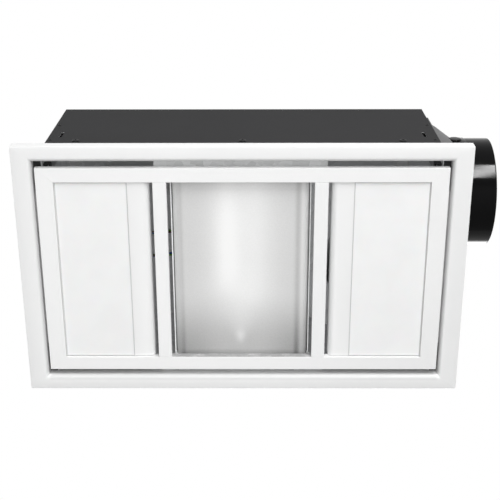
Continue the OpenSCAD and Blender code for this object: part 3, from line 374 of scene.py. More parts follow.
@dataclass(frozen=True)
class Moulding(Finish):
    """Moulded plastic: fine spark texture, flow clouds and a softly varying gloss."""

    color: Color
    roughness: float = 0.45
    grain: float = 1500.0
    depth: float = 0.00003
    level: float = 0.5

    def dress(self, desk: Desk) -> None:
        """Adds the finish's own nodes."""
        flow, grain = desk.noise(16.0, 3.0), desk.noise(self.grain, 2.0)
        desk.wear(
            Base_Color=desk.tint(flow.step(0.3, 0.7), self.color, 0.95, 1.04),
            Roughness=self.roughness + (flow - 0.5) * 0.16 + (grain - 0.5) * 0.08,
            Specular_Ior_Level=self.level,
        )
        desk.relief(grain, self.depth)


@dataclass(frozen=True)
class Galvanised(Finish):
    """Zinc-coated sheet with its spangle of crystals; every face also glows faintly, as painted light for the
    casing's dim inside.
    """

    color: Color = (0.72, 0.73, 0.74)
    metallic: float = 0.35
    # painted light: an even glow on every face
    painted_spill_light: float = 0.03

    def dress(self, desk: Desk) -> None:
        """Adds the finish's own nodes."""
        crystal, scratch = desk.crystals(SPANGLES), desk.noise(60.0, 4.0, (12.0, 0.6, 0.6))
        desk.wear(
            Base_Color=desk.tint(crystal, self.color, 0.86, 1.08),
            Roughness=0.34 + crystal * 0.16 + (scratch - 0.5) * 0.14,
            Metallic=self.metallic,
            # painted light: the sheet glows though it is no lamp
            Emission_Color=WHITE,
            Emission_Strength=self.painted_spill_light,
        )
        desk.relief(crystal * 0.6 + scratch * 0.4, 0.00003)


@dataclass(frozen=True)
class PaintedSheet(Coating):
    """Zinc-coated sheet, painted on the casing's outside and left bare on its inside."""

    bare: Color = (0.66, 0.67, 0.68)
    half_x: float = 0.2634
    half_y: float = 0.1674
    top: float = 0.2064
    edge: float = 0.0002
    # glow of the bare inside: painted light for the casing's dim inside
    painted_spill_light: float = 0.04

    def dress(self, desk: Desk) -> None:
        """Adds the paint's nodes, and the zinc's where the sheet faces the inside; the inside also glows
        faintly, as painted light.
        """
        x, y, z = desk.axes()
        inside: Any = 1.0
        for place, limit in ((abs(x), self.half_x), (abs(y), self.half_y), (z, self.top)):
            inside = place.fade(limit - self.edge, limit + self.edge) * inside
        cloud, peel = desk.noise(CLOUDS, 4.0), desk.noise(self.peel, 3.0)
        crystal = desk.crystals(SPANGLES)
        rough = self.roughness + (cloud - 0.5) * 0.12 + (peel - 0.5) * 0.1
        desk.wear(
            Base_Color=desk.mix(inside, self.tone(desk, cloud), desk.tint(crystal, self.bare, 0.86, 1.08)),
            Roughness=rough - inside * (0.1 - crystal * 0.1),
            Metallic=inside * 0.3,
            Specular_Ior_Level=self.level,
            # painted light: the inside faces glow though the sheet is no lamp
            Emission_Color=desk.mix(inside, BLACK, WHITE),
            Emission_Strength=self.painted_spill_light,
        )
        desk.relief(peel, self.depth)


@dataclass(frozen=True)
class Machined(Finish):
    """Bare metal with fine tool or grinding lines along one axis."""

    color: Color
    roughness: float = 0.28
    lines: Color = (1.0, 30.0, 30.0)
    stain: float = 0.1

    def dress(self, desk: Desk) -> None:
        """Adds the finish's own nodes."""
        line, film = desk.noise(70.0, 4.0, self.lines), desk.noise(38.0, 3.0)
        desk.wear(
            Base_Color=desk.tint(film.step(0.35, 0.75) * self.stain + line * 0.1, self.color, 1.0, 0.55),
            Roughness=self.roughness + (line - 0.5) * 0.22 + (film - 0.5) * 0.1,
            Metallic=1.0,
        )
        desk.relief(line, 0.00002)


@dataclass(frozen=True)
class Hammered(Finish):
    """Bright reflector sheet pressed with small round dimples, its rim darkened as painted shade in the gaps
    beside the glass.
    """

    color: Color = (0.88, 0.88, 0.89)
    middle: float = -0.0021
    shaded_rim_x: float = 0.0878

    def dress(self, desk: Desk) -> None:
        """Adds the finish's own nodes."""
        dimple, smoke = desk.cells(190.0), desk.noise(26.0, 3.0)
        # rim: painted shade, dark and dull along the rim seen in the gaps beside the glass
        rim = abs(desk.axes()[0] - self.middle).step(self.shaded_rim_x - 0.0004, self.shaded_rim_x + 0.0004)
        desk.wear(
            Base_Color=desk.tint((smoke.step(0.45, 0.8) * 0.4).most(rim), self.color, 1.0, 0.25),
            Roughness=0.12 + smoke * 0.14 + rim * 0.5,
            Metallic=1.0,
        )
        desk.relief(dimple, 0.0006, 0.7)


@dataclass(frozen=True)
class FrostedGlass(Finish):
    """Toughened frosted glass with painted light: the lamp and its bowl are painted on as soft glow and
    shade, and it glows faintly though no lamp is lit.
    """

    name: str = "frosted_glass"
    middle: float = -0.0021
    painted_glow_x: float = -0.0035
    painted_spot_y: float = 0.1025

    def dress(self, desk: Desk) -> None:
        """Adds the finish's own nodes."""
        x, y, _ = desk.axes()
        grain, frost, drift = desk.noise(1500.0, 1.0), desk.noise(420.0, 2.0), desk.noise(9.0, 2.0)
        # painted light: bells of glow that stand for the lamp and reflector seen through the glass
        painted_broad_glow = x.bell(0.002, 0.052) * y.fade(0.02, 0.105)
        painted_core_glow = x.bell(-0.021, 0.019) * y.fade(-0.01, 0.055) * (0.55 + 0.45 * y.step(-0.13, -0.07))
        painted_twin_glow = x.bell(0.016, 0.02) * y.fade(-0.01, 0.07)
        width = 0.005 + (0.108 - y).most(0.0) * 0.42
        painted_taper_glow = x.bell(self.painted_glow_x, width) * y.step(-0.02, 0.05) * y.fade(0.095, 0.112)
        # spot: painted highlight at the lamp's end
        spot = x.bell(self.painted_glow_x, 0.006) * y.bell(self.painted_spot_y, 0.0095)
        aside = abs(x - self.middle)
        side = aside.step(0.02, 0.078)
        # glow: the sum of the painted light
        glow = painted_broad_glow * 0.1 + painted_core_glow * 0.16 + painted_twin_glow * 0.06 + painted_taper_glow * 0.09 + spot * 0.13
        # near: painted shade along the near end, under the bar
        near = y.fade(-0.131, -0.118) * (1 - painted_core_glow)
        # painted shade towards the far end and the sides
        shade = y.step(0.03, 0.135) * (0.2 + side * 0.1) + side * 0.04 + near * 0.1
        # edge: painted highlight band and painted dark band along the turned-up edges
        edge = aside.step(0.0795, 0.0825) * 0.06 - abs(x - self.middle + 0.0028).bell(0.0793, 0.0036) * 0.15
        mottle = (grain - 0.5) * 0.1 + (frost - 0.5) * 0.06 + (drift - 0.5) * 0.05
        tone = (0.66 + glow - shade + edge + mottle).least(0.9).most(0.05)
        desk.wear(
            Base_Color=desk.mix(tone, BLACK, (1.0, 1.0, 0.995)),
            # painted light: the glass glows though no lamp is lit
            Emission_Color=desk.mix(painted_core_glow * 0.6 + painted_broad_glow * 0.3, BLACK, (1.0, 0.99, 0.97)),
            Emission_Strength=0.02,
            Roughness=0.42 + grain * 0.25,
            Coat_Weight=0.08 + frost * 0.1,
            Coat_Roughness=0.2,
            Specular_Ior_Level=0.4,
        )
        desk.relief(grain * 0.6 + frost * 0.4, 0.00005, 0.7)


@dataclass(frozen=True)
class Opal(Finish):
    """Opal sheet over the lamps, lit a little from behind."""

    name: str = "opal_sheet"
    color: Color = (0.86, 0.862, 0.86)

    def dress(self, desk: Desk) -> None:
        """Adds the finish's own nodes."""
        milk, satin = desk.noise(22.0, 3.0), desk.noise(1300.0, 2.0)
        desk.wear(
            Base_Color=desk.tint(milk.step(0.3, 0.7), self.color, 0.985, 1.01),
            Roughness=0.38 + satin * 0.16,
            Subsurface_Weight=0.08,
            Subsurface_Scale=0.002,
            Emission_Color=desk.mix(milk, (0.9, 0.9, 0.9), WHITE),
            Emission_Strength=0.015,
        )
        desk.relief(satin, 0.00002)


@dataclass(frozen=True)
class Quartz(Finish):
    """Clear quartz tube, slightly smoky and ribbed from drawing."""

    name: str = "quartz_tube"

    def dress(self, desk: Desk) -> None:
        """Adds the finish's own nodes."""
        draw, smoke = desk.noise(80.0, 3.0, (9.0, 0.4, 9.0)), desk.noise(24.0, 3.0)
        desk.wear(
            Base_Color=desk.mix(smoke.step(0.4, 0.8) * 0.35, (0.97, 0.98, 0.98), (0.75, 0.72, 0.68)),
            Roughness=0.03 + draw * 0.06,
            Transmission_Weight=0.92,
            Ior=1.46,
        )
        desk.relief(draw, 0.00004)


@dataclass(frozen=True)
class Foam(Finish):
    """Closed-cell foam or rubber with open pores on its skin."""

    color: Color = (0.022, 0.022, 0.023)
    pores: float = 620.0

    def dress(self, desk: Desk) -> None:
        """Adds the finish's own nodes."""
        pore, dust = desk.cells(self.pores), desk.noise(70.0, 3.0)
        desk.wear(
            Base_Color=desk.tint(dust.step(0.45, 0.8) * 0.5, self.color, 1.0, 2.4),
            Roughness=0.82 + (pore - 0.4) * 0.2,
        )
        desk.relief(pore, 0.0002, 0.6)


@dataclass(frozen=True)
class Ceramic(Finish):
    """Unglazed steatite with a chalky skin."""

    name: str = "steatite"
    color: Color = (0.82, 0.79, 0.72)

    def dress(self, desk: Desk) -> None:
        """Adds the finish's own nodes."""
        chalk, burn = desk.noise(260.0, 4.0), desk.noise(42.0, 3.0)
        desk.wear(
            Base_Color=desk.tint(burn.step(0.5, 0.85) * 0.5, self.color, 1.0, 0.7),
            Roughness=0.62 + chalk * 0.2,
        )
        desk.relief(chalk, 0.00008)


@dataclass(frozen=True)
class Banded(Finish):
    """Layers or turns that run round a piece: laminations, wire on a coil, a wound ring."""

    color: Color
    groove: Color
    pitch: float
    slant: float = 0.0
    metallic: float = 0.9
    roughness: float = 0.32

    def dress(self, desk: Desk) -> None:
        """Adds the finish's own nodes."""
        x, y, z = desk.axes()
        wave = ((z + (x + y) * self.slant) * (2 * math.pi / self.pitch)).sine()
        line = wave.step(-1.0, -0.2)
        tarnish = desk.noise(55.0, 4.0)
        base = desk.tint(tarnish.step(0.4, 0.8) * 0.5, self.color, 1.0, 0.6)
        desk.wear(
            Base_Color=desk.mix(line, self.groove, base),
            Roughness=self.roughness + (1 - line) * 0.3 + (tarnish - 0.5) * 0.1,
            Metallic=self.metallic,
        )
        desk.relief(line, 0.0002, 0.8)


@dataclass(frozen=True)
class BoardFilm(Finish):
    """White solder mask of a lamp board over its copper tracks."""

    name: str = "board_film"

    def dress(self, desk: Desk) -> None:
        """Adds the finish's own nodes."""
        x, y, _ = desk.axes()
        track = (abs((x * 320.0).sine())).step(0.86, 0.94).most(abs((y * 132.0).sine()).step(0.95, 0.985))
        dust = desk.noise(90.0, 3.0)
        desk.wear(
            Base_Color=desk.mix(track, (0.8, 0.81, 0.78), (0.66, 0.68, 0.64)),
            Roughness=0.36 + dust * 0.16,
        )
        desk.relief(track, 0.00005)


WHITE_TRIM = RolledCoating("white_trim", (0.835, 0.838, 0.836), 0.36, 0.01, 700.0, 0.000012)
WHITE_COVER = Coating("white_cover", (0.862, 0.864, 0.862), 0.34, 0.01, 800.0, 0.000012)
GREY_CASING = PaintedSheet("grey_casing", (0.0335, 0.0335, 0.0345), 0.56, 0.07, 620.0, 0.00004, 0.02)
GREY_LID = Coating("grey_lid", (0.0335, 0.0335, 0.0345), 0.56, 0.07, 620.0, 0.00004, 0.02)
# The casing's dark grey made lighter for the cone: painted light where the cone faces the lamps.
CONE_LIT_GREY = Coating("cone_lit_grey", (0.123, 0.123, 0.125), 0.45, 0.06, 620.0, 0.00003, 0.2)
GREY_TRAY = Coating("grey_tray", (0.62, 0.62, 0.62), 0.5, 0.05, 620.0, 0.00003, 0.3)
MOTOR_CAN = Coating("motor_can", (0.09, 0.09, 0.092), 0.45, 0.05, 620.0, 0.00003)
BLACK_SCREW = Coating("black_oxide", (0.01, 0.01, 0.0105), 0.42, 0.15, 1400.0, 0.00001, 0.15)
BLACK_GLOSS = Moulding("black_gloss", (0.002, 0.002, 0.0022), 0.1, 500.0, 0.000002, 0.08)
BLACK_PLASTIC = Moulding("black_plastic", (0.022, 0.022, 0.023), 0.5)
WHITE_PLASTIC = Moulding("white_plastic", (0.8, 0.8, 0.78), 0.4)
# Near-black pad with no reflection: painted shade behind the wall slots.
SLOT_SHADE_PAD = Moulding("slot_shade_pad", (0.003, 0.003, 0.003), 0.9, 900.0, 0.00001, 0.0)
PALE_CASE = Moulding("pale_case", (0.74, 0.75, 0.74), 0.45)
ZINC_SHEET = Galvanised("zinc_sheet")
# Paler copy of the zinc sheet with more glow: painted light on the heat box seen through the slots.
HEAT_BOX_LIT_SHEET = Galvanised("heat_box_lit_sheet", (0.86, 0.87, 0.87), metallic=0.1, painted_spill_light=0.05)
ZINC_PLATED = Machined("zinc_plated", (0.68, 0.68, 0.66), 0.26, (20.0, 20.0, 20.0), 0.25)
SPRING_STEEL = Machined("spring_steel", (0.42, 0.42, 0.43), 0.3, (30.0, 30.0, 1.0), 0.3)
GROUND_STEEL = Machined("ground_steel", (0.72, 0.72, 0.73), 0.16, (1.0, 1.0, 40.0), 0.1)
ALUMINIUM = Machined("mill_aluminium", (0.66, 0.67, 0.68), 0.34, (1.0, 22.0, 22.0), 0.15)
BRASS = Machined("turned_brass", (0.66, 0.48, 0.2), 0.24, (1.0, 1.0, 40.0), 0.3)
TUNGSTEN = Machined("tungsten_wire", (0.3, 0.29, 0.28), 0.4, (8.0, 1.0, 8.0), 0.4)
BRIGHT_SHEET = Hammered("bright_sheet")
COPPER = Banded("enamelled_copper", (0.62, 0.24, 0.09), (0.12, 0.04, 0.02), 0.0009, 0.35)
LAMINATIONS = Banded("laminations", (0.4, 0.4, 0.41), (0.08, 0.08, 0.08), 0.001)
ROTOR_BARS = Banded("rotor_steel", (0.5, 0.5, 0.52), (0.12, 0.12, 0.12), 0.0012)
RUBBER = Foam("rubber_skin", (0.02, 0.02, 0.02), 1400.0)
SEAL_FOAM = Foam("seal_foam")
# Grey felt whose grey is painted shade on the far rail's inner wall.
SHADE_FELT = Foam("shade_felt", (0.36, 0.36, 0.36), 1400.0)
PHOSPHOR = Moulding("lamp_phosphor", (0.8, 0.66, 0.16), 0.5, 900.0)
BROWN_WIRE = Moulding("brown_wire", (0.12, 0.045, 0.02), 0.38)
BLUE_WIRE = Moulding("blue_wire", (0.02, 0.09, 0.36), 0.38)
GREEN_WIRE = Moulding("green_wire", (0.12, 0.34, 0.03), 0.38)


@functools.cache
def made(finish: Finish) -> bpy.types.Material:
    """The material of a finish, built once."""
    return finish.material()


# Shapes


class Axis(Enum):
    """An axis of the row frame."""

    X = 0
    Y = 1
    Z = 2

    def lay(self, a: float, b: float, along: float) -> Point:
        """A point from two coordinates across the axis and one along it."""
        if self is Axis.X:
            return (along, a, b)
        if self is Axis.Y:
            return (a, along, b)
        return (a, b, along)


def arc(cx: float, cy: float, r: float, start: float, end: float, steps: int = 8) -> list[Pair]:
    """Points along an arc.

    Args:
        cx: Centre, first coordinate.
        cy: Centre, second coordinate.
        r: Radius.
        start: First angle in degrees.
        end: Last angle in degrees.
        steps: Number of spans.

    Returns:
        The points, both ends among them.
    """
    turns = [math.radians(start + (end - start) * i / steps) for i in range(steps + 1)]
    return [(cx + r * math.cos(t), cy + r * math.sin(t)) for t in turns]


def rounded_loop(half_x: float, half_y: float, r: float, z: float, steps: int = 5) -> list[Point]:
    """A rectangle round the Z axis with rounded corners.

    Args:
        half_x: Half its length.
        half_y: Half its width.
        r: Radius of its corners.
        z: Its height.
        steps: Spans in each corner.

    Returns:
        A closed loop.
    """
    x, y = half_x - r, half_y - r
    corners = ((x, y, 0), (-x, y, 90), (-x, -y, 180), (x, -y, 270))
    return [(a, b, z) for cx, cy, turn in corners for a, b in arc(cx, cy, r, turn, turn + 90, steps)]


def mirrored(half: Sequence[Pair], low: float, high: float) -> list[Pair]:
    """A profile that is the same at both ends.

    Args:
        half: Radius and depth of each corner of one end.
        low: Where that end lies along the axis.
        high: Where the other end lies.

    Returns:
        The whole profile.
    """
    return [(r, low + deep) for r, deep in half] + [(r, high - deep) for r, deep in reversed(half)]


def softened(points: Sequence[Point], radius: float, steps: int = 5) -> list[Vector]:
    """A path with its corners rounded.

    Args:
        points: The path's corners.
        radius: How far before and after each corner the bend reaches.
        steps: Spans in each bend.

    Returns:
        The smooth path.
    """
    spots = [Vector(p) for p in points]
    path = [spots[0]]
    for before, corner, after in zip(spots, spots[1:], spots[2:]):
        reach = min(radius, (corner - before).length * 0.48, (after - corner).length * 0.48)
        a = corner + (before - corner).normalized() * reach
        b = corner + (after - corner).normalized() * reach
        for i in range(steps + 1):
            t = i / steps
            path.append(a * (1 - t) ** 2 + corner * 2 * t * (1 - t) + b * t * t)
    path.append(spots[-1])
    return path


def carried_frames(path: Sequence[Vector]) -> list[tuple[Vector, Vector]]:
    """Two directions across a path at each of its points, without twist."""
    frames = []
    side: Vector | None = None
    for i in range(len(path)):
        ahead = (path[min(i + 1, len(path) - 1)] - path[max(i - 1, 0)]).normalized()
        if side is None:
            side = ahead.orthogonal().normalized()
        side = (side - ahead * side.dot(ahead)).normalized()
        frames.append((side.copy(), ahead.cross(side).normalized()))
    return frames


def linked(name: str, data: bpy.types.ID) -> bpy.types.Object:
    """A new object in the scene."""
    item = bpy.data.objects.new(name, data)
    bpy.context.scene.collection.objects.link(item)
    return item


def from_bmesh(name: str, mesh: bmesh.types.BMesh) -> bpy.types.Object:
    """Turns a working mesh into an object in the scene."""
    data = bpy.data.meshes.new(name)
    mesh.to_mesh(data)
    mesh.free()
    return linked(name, data)


class Solid:
    """Gathers the faces of one piece, in millimetres, and turns them into an object."""

    def __init__(self) -> None:
        """Starts with no faces."""
        self.mesh = bmesh.new()

    def loft(self, loops: Sequence[Sequence[Point]], wrap: bool = False) -> "Solid":
        """Joins closed loops of equal length.

        Args:
            loops: The loops in order.
            wrap: Whether the last loop joins the first, instead of two end faces.

        Returns:
            This solid.
        """
        rings = [[self.mesh.verts.new(p) for p in loop] for loop in loops]
        pairs = list(zip(rings, rings[1:]))
        if wrap:
            pairs.append((rings[-1], rings[0]))
        else:
            self.mesh.faces.new(list(reversed(rings[0])))
            self.mesh.faces.new(rings[-1])
        for a, b in pairs:
            for i in range(len(a)):
                j = (i + 1) % len(a)
                self.mesh.faces.new((a[i], a[j], b[j], b[i]))
        return self

    def prism(self, points: Sequence[Pair], axis: Axis, low: float, high: float) -> "Solid":
        """A flat outline carried along an axis."""
        return self.loft([[axis.lay(a, b, t) for a, b in points] for t in (low, high)])

    def block(self, corner: Point, opposite: Point) -> "Solid":
        """A block between two opposite corners."""
        (x0, x1), (y0, y1), (z0, z1) = (sorted(ends) for ends in zip(corner, opposite))
        return self.prism([(x0, y0), (x1, y0), (x1, y1), (x0, y1)], Axis.Z, z0, z1)

    def four_blocks(self, corner: Point, opposite: Point) -> "Solid":
        """The same block in each quarter of the XY plane."""
        for sx, sy in CORNERS:
            self.block(*[(sx * x, sy * y, z) for x, y, z in (corner, opposite)])
        return self

    def lathe(
        self, profile: Sequence[Pair], axis: Axis = Axis.Z, centre: Point = (0, 0, 0), steps: int = 64
    ) -> "Solid":
        """A closed profile turned round an axis.

        Args:
            profile: Radius and place along the axis of each corner.
            axis: The axis.
            centre: A point on it, from which the places count.
            steps: Spans round the axis.

        Returns:
            This solid.
        """
        loops = []
        for i in range(steps):
            t = 2 * math.pi * i / steps
            ring = [axis.lay(r * math.cos(t), r * math.sin(t), h) for r, h in profile]
            loops.append([(x + centre[0], y + centre[1], z + centre[2]) for x, y, z in ring])
        return self.loft(loops, wrap=True)

    def drum(
        self, r: float, low: float, high: float, axis: Axis, centre: Point, steps: int = 48, bore: float = 0.0
    ) -> "Solid":
        """A plain cylinder.

        Args:
            r: Radius.
            low: Where it starts along the axis, counted from the centre.
            high: Where it ends.
            axis: The axis.
            centre: A point on it.
            steps: Spans round it.
            bore: Radius of the hole through it.

        Returns:
            This solid.
        """
        return self.lathe([(bore, low), (r, low), (r, high), (bore, high)], axis, centre, steps)

    def tube(self, path: Sequence[Vector], radius: float, sides: int = 12) -> "Solid":
        """A round bar along a path."""
        circle = arc(0, 0, radius, 0, 360, sides)[:-1]
        loops = []
        for spot, (side, over) in zip(path, carried_frames(path)):
            loops.append([tuple(spot + side * a + over * b) for a, b in circle])
        return self.loft(loops)

    def object(self, name: str) -> bpy.types.Object:
        """Closes the mesh, points its faces outwards and makes the object, in metres."""
        bmesh.ops.remove_doubles(self.mesh, verts=self.mesh.verts, dist=0.0004)
        bmesh.ops.recalc_face_normals(self.mesh, faces=self.mesh.faces)
        bmesh.ops.scale(self.mesh, vec=(MM, MM, MM), verts=self.mesh.verts)
        return from_bmesh(name, self.mesh)

    def place(
        self,
        name: str,
        finish: Finish,
        nodes: Sequence[str] = (),
        slot: str = "",
        width: float = 0.0,
        angle: float = 32.0,
        body: str = "unit",
    ) -> bpy.types.Object:
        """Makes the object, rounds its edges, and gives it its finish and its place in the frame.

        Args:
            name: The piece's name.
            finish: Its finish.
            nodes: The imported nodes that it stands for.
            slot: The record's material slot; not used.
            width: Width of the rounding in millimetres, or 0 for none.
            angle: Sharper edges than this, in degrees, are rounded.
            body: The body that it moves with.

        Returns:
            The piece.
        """
        return finished(soften(self.object(name), width, 2, angle), finish, nodes, body)


def soften(piece: bpy.types.Object, width: float, segments: int = 2, angle: float = 32.0) -> bpy.types.Object:
    """Rounds a piece's sharp edges and smooths the rest.

    Args:
        piece: The piece.
        width: Width of the rounding in millimetres, or 0 for none.
        segments: Faces across it.
        angle: Sharper edges than this, in degrees, are rounded.

    Returns:
        The piece.
    """
    piece.data.shade_smooth()
    piece.data.set_sharp_from_angle(angle=math.radians(angle))
    if width > 0:
        bevel = piece.modifiers.new("rounding", "BEVEL")
        bevel.width = width * MM
        bevel.segments = segments
        bevel.limit_method = "ANGLE"
        bevel.angle_limit = math.radians(angle)
        bevel.harden_normals = True
        bevel.use_clamp_overlap = True
    return piece


def finished(
    piece: bpy.types.Object, finish: Finish, nodes: Sequence[str] = (), body: str = "unit"
) -> bpy.types.Object:
    """Gives a piece its finish, and its place in the frame.

    Args:
        piece: The piece.
        finish: Its finish.
        nodes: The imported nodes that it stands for.
        body: The body that it moves with.

    Returns:
        The piece.
    """
    piece.data.materials.clear()
    piece.data.materials.append(made(finish))
    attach(piece, body)
    if nodes:
        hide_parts(*nodes)
    log.info("%s: %d faces on %s", piece.name, len(piece.data.polygons), body)
    return piece


def refined(
    node: str,
    finish: Finish,
    width: float = 0.4,
    segments: int = 2,
    body: str = "unit",
    crisp: Callable[[Vector], bool] | None = None,
) -> bpy.types.Object:
    """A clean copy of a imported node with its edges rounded, which stands for the node.

    Args:
        node: The node's name.
        finish: The finish.
        width: Width of the rounding in millimetres.
        segments: Faces across it.
        body: The body that the node belongs to.
        crisp: Test of a face's outward direction; the edges of a face that passes stay crisp.

    Returns:
        The piece.
    """
    mesh = bmesh.new()
    mesh.from_mesh(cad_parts[node].data)
    bmesh.ops.remove_doubles(mesh, verts=mesh.verts, dist=0.000002)
    bmesh.ops.dissolve_limit(mesh, angle_limit=0.01, verts=mesh.verts, edges=mesh.edges)
    weight = mesh.edges.layers.float.new("bevel_weight_edge")
    for edge in mesh.edges:
        sharp = len(edge.link_faces) == 2 and edge.calc_face_angle(0.0) > math.radians(32)
        edge[weight] = float(sharp and not (crisp and any(crisp(face.normal) for face in edge.link_faces)))
    piece = soften(from_bmesh(node + "_made", mesh), width, segments)
    if crisp:
        piece.modifiers["rounding"].limit_method = "WEIGHT"
    return finished(piece, finish, [node], body=body)


def cut_away(piece: bpy.types.Object, cutter: bpy.types.Object) -> bpy.types.Object:
    """Cuts one object's shape out of another and deletes it."""
    knife = piece.modifiers.new("cut", "BOOLEAN")
    knife.operation = "DIFFERENCE"
    knife.solver = "EXACT"
    knife.object = cutter
    bake_modifiers(piece)
    bpy.data.objects.remove(cutter)
    return piece


def bake_modifiers(piece: bpy.types.Object) -> None:
    """Turns a piece's modifiers into plain mesh."""
    bpy.context.view_layer.update()
    depsgraph = bpy.context.evaluated_depsgraph_get()
    data = bpy.data.meshes.new_from_object(piece.evaluated_get(depsgraph), depsgraph=depsgraph)
    piece.modifiers.clear()
    piece.data = data


# Repeats


class Repeater(Graph):
    """A Geometry Nodes tree that repeats a part or draws a coil, with named inputs."""

    def __init__(self, name: str) -> None:
        """Starts the tree with its geometry in and out."""
        tree = bpy.data.node_groups.new(name, "GeometryNodeTree")
        tree.is_modifier = True
        super().__init__(tree)
        tree.interface.new_socket(name="Part", in_out="INPUT", socket_type="NodeSocketGeometry")
        tree.interface.new_socket(name="Repeated", in_out="OUTPUT", socket_type="NodeSocketGeometry")
        self.inlet = self.node("NodeGroupInput")
        self.keys: dict[str, str] = {}

    def takes(self, label: str, kind: str) -> Tap:
        """Adds a named input.

        Args:
            label: The input's name.
            kind: Float, Int, Vector, Object or Material.

        Returns:
            The input as a tap.
        """
        item = self.tree.interface.new_socket(name=label, in_out="INPUT", socket_type="NodeSocket" + kind)
        self.keys[label] = item.identifier
        return Tap(self, next(s for s in self.inlet.outputs if s.identifier == item.identifier))

    def copies(self, points: Any, **sockets: Any) -> bpy.types.NodeSocket:
        """The part that comes in, at each of some points."""
        sockets.update(Points=points, Instance=self.inlet.outputs["Part"])
        return self.node("GeometryNodeInstanceOnPoints", sockets).outputs[0]

    def close(self, geometry: Any) -> "Repeater":
        """Ends the tree: turned and placed, real faces, and the finish."""
        tilt, centre = self.takes("Tilt", "Vector"), self.takes("Centre", "Vector")
        sockets = {"Geometry": geometry, "Rotation": tilt, "Translation": centre}
        moved = self.node("GeometryNodeTransform", sockets)
        real = self.node("GeometryNodeRealizeInstances", {"Geometry": moved.outputs[0]})
        finish = self.takes("Finish", "Material")
        dressed = self.node("GeometryNodeSetMaterial", {"Geometry": real.outputs[0], "Material": finish})
        self.node("NodeGroupOutput", {"Repeated": dressed.outputs[0]})
        return self

    def run(
        self,
        host: bpy.types.Object,
        finish: Finish,
        centre: Point = (0, 0, 0),
        tilt: Point = (0, 0, 0),
        **values: Any,
    ) -> bpy.types.Object:
        """Repeats a part and turns the result into plain mesh.

        Args:
            host: The object that holds the part; it becomes the result.
            finish: The finish.
            centre: Where the middle goes, in millimetres.
            tilt: How the whole is turned, in degrees.
            values: The tree's own inputs, by label.

        Returns:
            The host with the repeated mesh.
        """
        modifier = host.modifiers.new("repeat", "NODES")
        modifier.node_group = self.tree
        modifier[self.keys["Centre"]] = [c * MM for c in centre]
        modifier[self.keys["Tilt"]] = [math.radians(t) for t in tilt]
        modifier[self.keys["Finish"]] = made(finish)
        for label, value in values.items():
            modifier[self.keys[label]] = value
        bake_modifiers(host)
        return host


@functools.cache
def ring_tree() -> Repeater:
    """The tree that sets a part round a circle in the XY plane."""
    tree = Repeater("ring_of_parts")
    count, radius = tree.takes("Count", "Int"), tree.takes("Radius", "Float")
    points = tree.node("GeometryNodePoints", {"Count": count})
    index = Tap(tree, tree.node("GeometryNodeInputIndex").outputs[0])
    turn = index / count * (2 * math.pi)
    spot = tree.join_axes(tree.maths("COSINE", turn) * radius, turn.sine() * radius, 0.0)
    placed = tree.node("GeometryNodeSetPosition", {"Geometry": points.outputs[0], "Position": spot})
    return tree.close(tree.copies(placed.outputs[0], Rotation=tree.join_axes(0.0, 0.0, turn)))


@functools.cache
def row_tree() -> Repeater:
    """The tree that sets a part in rows in the XY plane, centred."""
    tree = Repeater("rows_of_parts")
    across, along = tree.takes("Across", "Int"), tree.takes("Along", "Int")
    step_x, step_y = tree.takes("StepX", "Float"), tree.takes("StepY", "Float")
    points = tree.node("GeometryNodePoints", {"Count": across * along})
    index = Tap(tree, tree.node("GeometryNodeInputIndex").outputs[0])
    line = tree.maths("FLOOR", (index + 0.5) / across)
    column = index - line * across
    spot = tree.join_axes((column - (across - 1) * 0.5) * step_x, (line - (along - 1) * 0.5) * step_y, 0.0)
    placed = tree.node("GeometryNodeSetPosition", {"Geometry": points.outputs[0], "Position": spot})
    return tree.close(tree.copies(placed.outputs[0]))


@functools.cache
def place_tree() -> Repeater:
    """The tree that sets a part at the points of another object, each turned by its own angles."""
    tree = Repeater("parts_at_places")
    info = tree.node("GeometryNodeObjectInfo", {"Object": tree.takes("Places", "Object")})
    turn = tree.node("GeometryNodeInputNamedAttribute", {"Name": "turn"}, data_type="FLOAT_VECTOR")
    return tree.close(tree.copies(info.outputs["Geometry"], Rotation=turn.outputs["Attribute"]))


@functools.cache
def coil_tree() -> Repeater:
    """The tree that winds a round wire into a coil along Z."""
    tree = Repeater("wound_wire")
    radius = tree.takes("Radius", "Float")
    sizes = {
        "Resolution": tree.takes("Spans", "Int"),
        "Rotations": tree.takes("Turns", "Float"),
        "Start Radius": radius,
        "End Radius": radius,
        "Height": tree.takes("Length", "Float"),
    }
    spiral = tree.node("GeometryNodeCurveSpiral", sizes)
    section = {"Resolution": 8, "Radius": tree.takes("Wire", "Float")}
    wire = tree.node("GeometryNodeCurvePrimitiveCircle", section, mode="RADIUS")
    curves = {"Curve": spiral.outputs[0], "Profile Curve": wire.outputs[0], "Fill Caps": True}
    swept = tree.node("GeometryNodeCurveToMesh", curves)
    smooth = tree.node("GeometryNodeSetShadeSmooth", {"Geometry": swept.outputs[0]})
    return tree.close(smooth.outputs[0])


def at_places(
    part: bpy.types.Object,
    spots: Sequence[tuple[Point, Point]],
    finish: Finish,
    nodes: Sequence[str] = (),
    body: str = "unit",
) -> None:
    """Sets a part at given places and finishes them as one piece.

    Args:
        part: The part, pointing along +Z.
        spots: Place in millimetres and turn in degrees of each one.
        finish: The finish.
        nodes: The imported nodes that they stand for.
        body: The body that they move with.
    """
    data = bpy.data.meshes.new("places")
    data.from_pydata([[c * MM for c in place] for place, _ in spots], [], [])
    turns = data.attributes.new("turn", "FLOAT_VECTOR", "POINT")
    for item, (_, turn) in zip(turns.data, spots):
        item.vector = [math.radians(t) for t in turn]
    places = linked("places", data)
    placed = place_tree().run(part, finish, Places=places)
    bpy.data.objects.remove(places)
    finished(placed, finish, nodes, body)


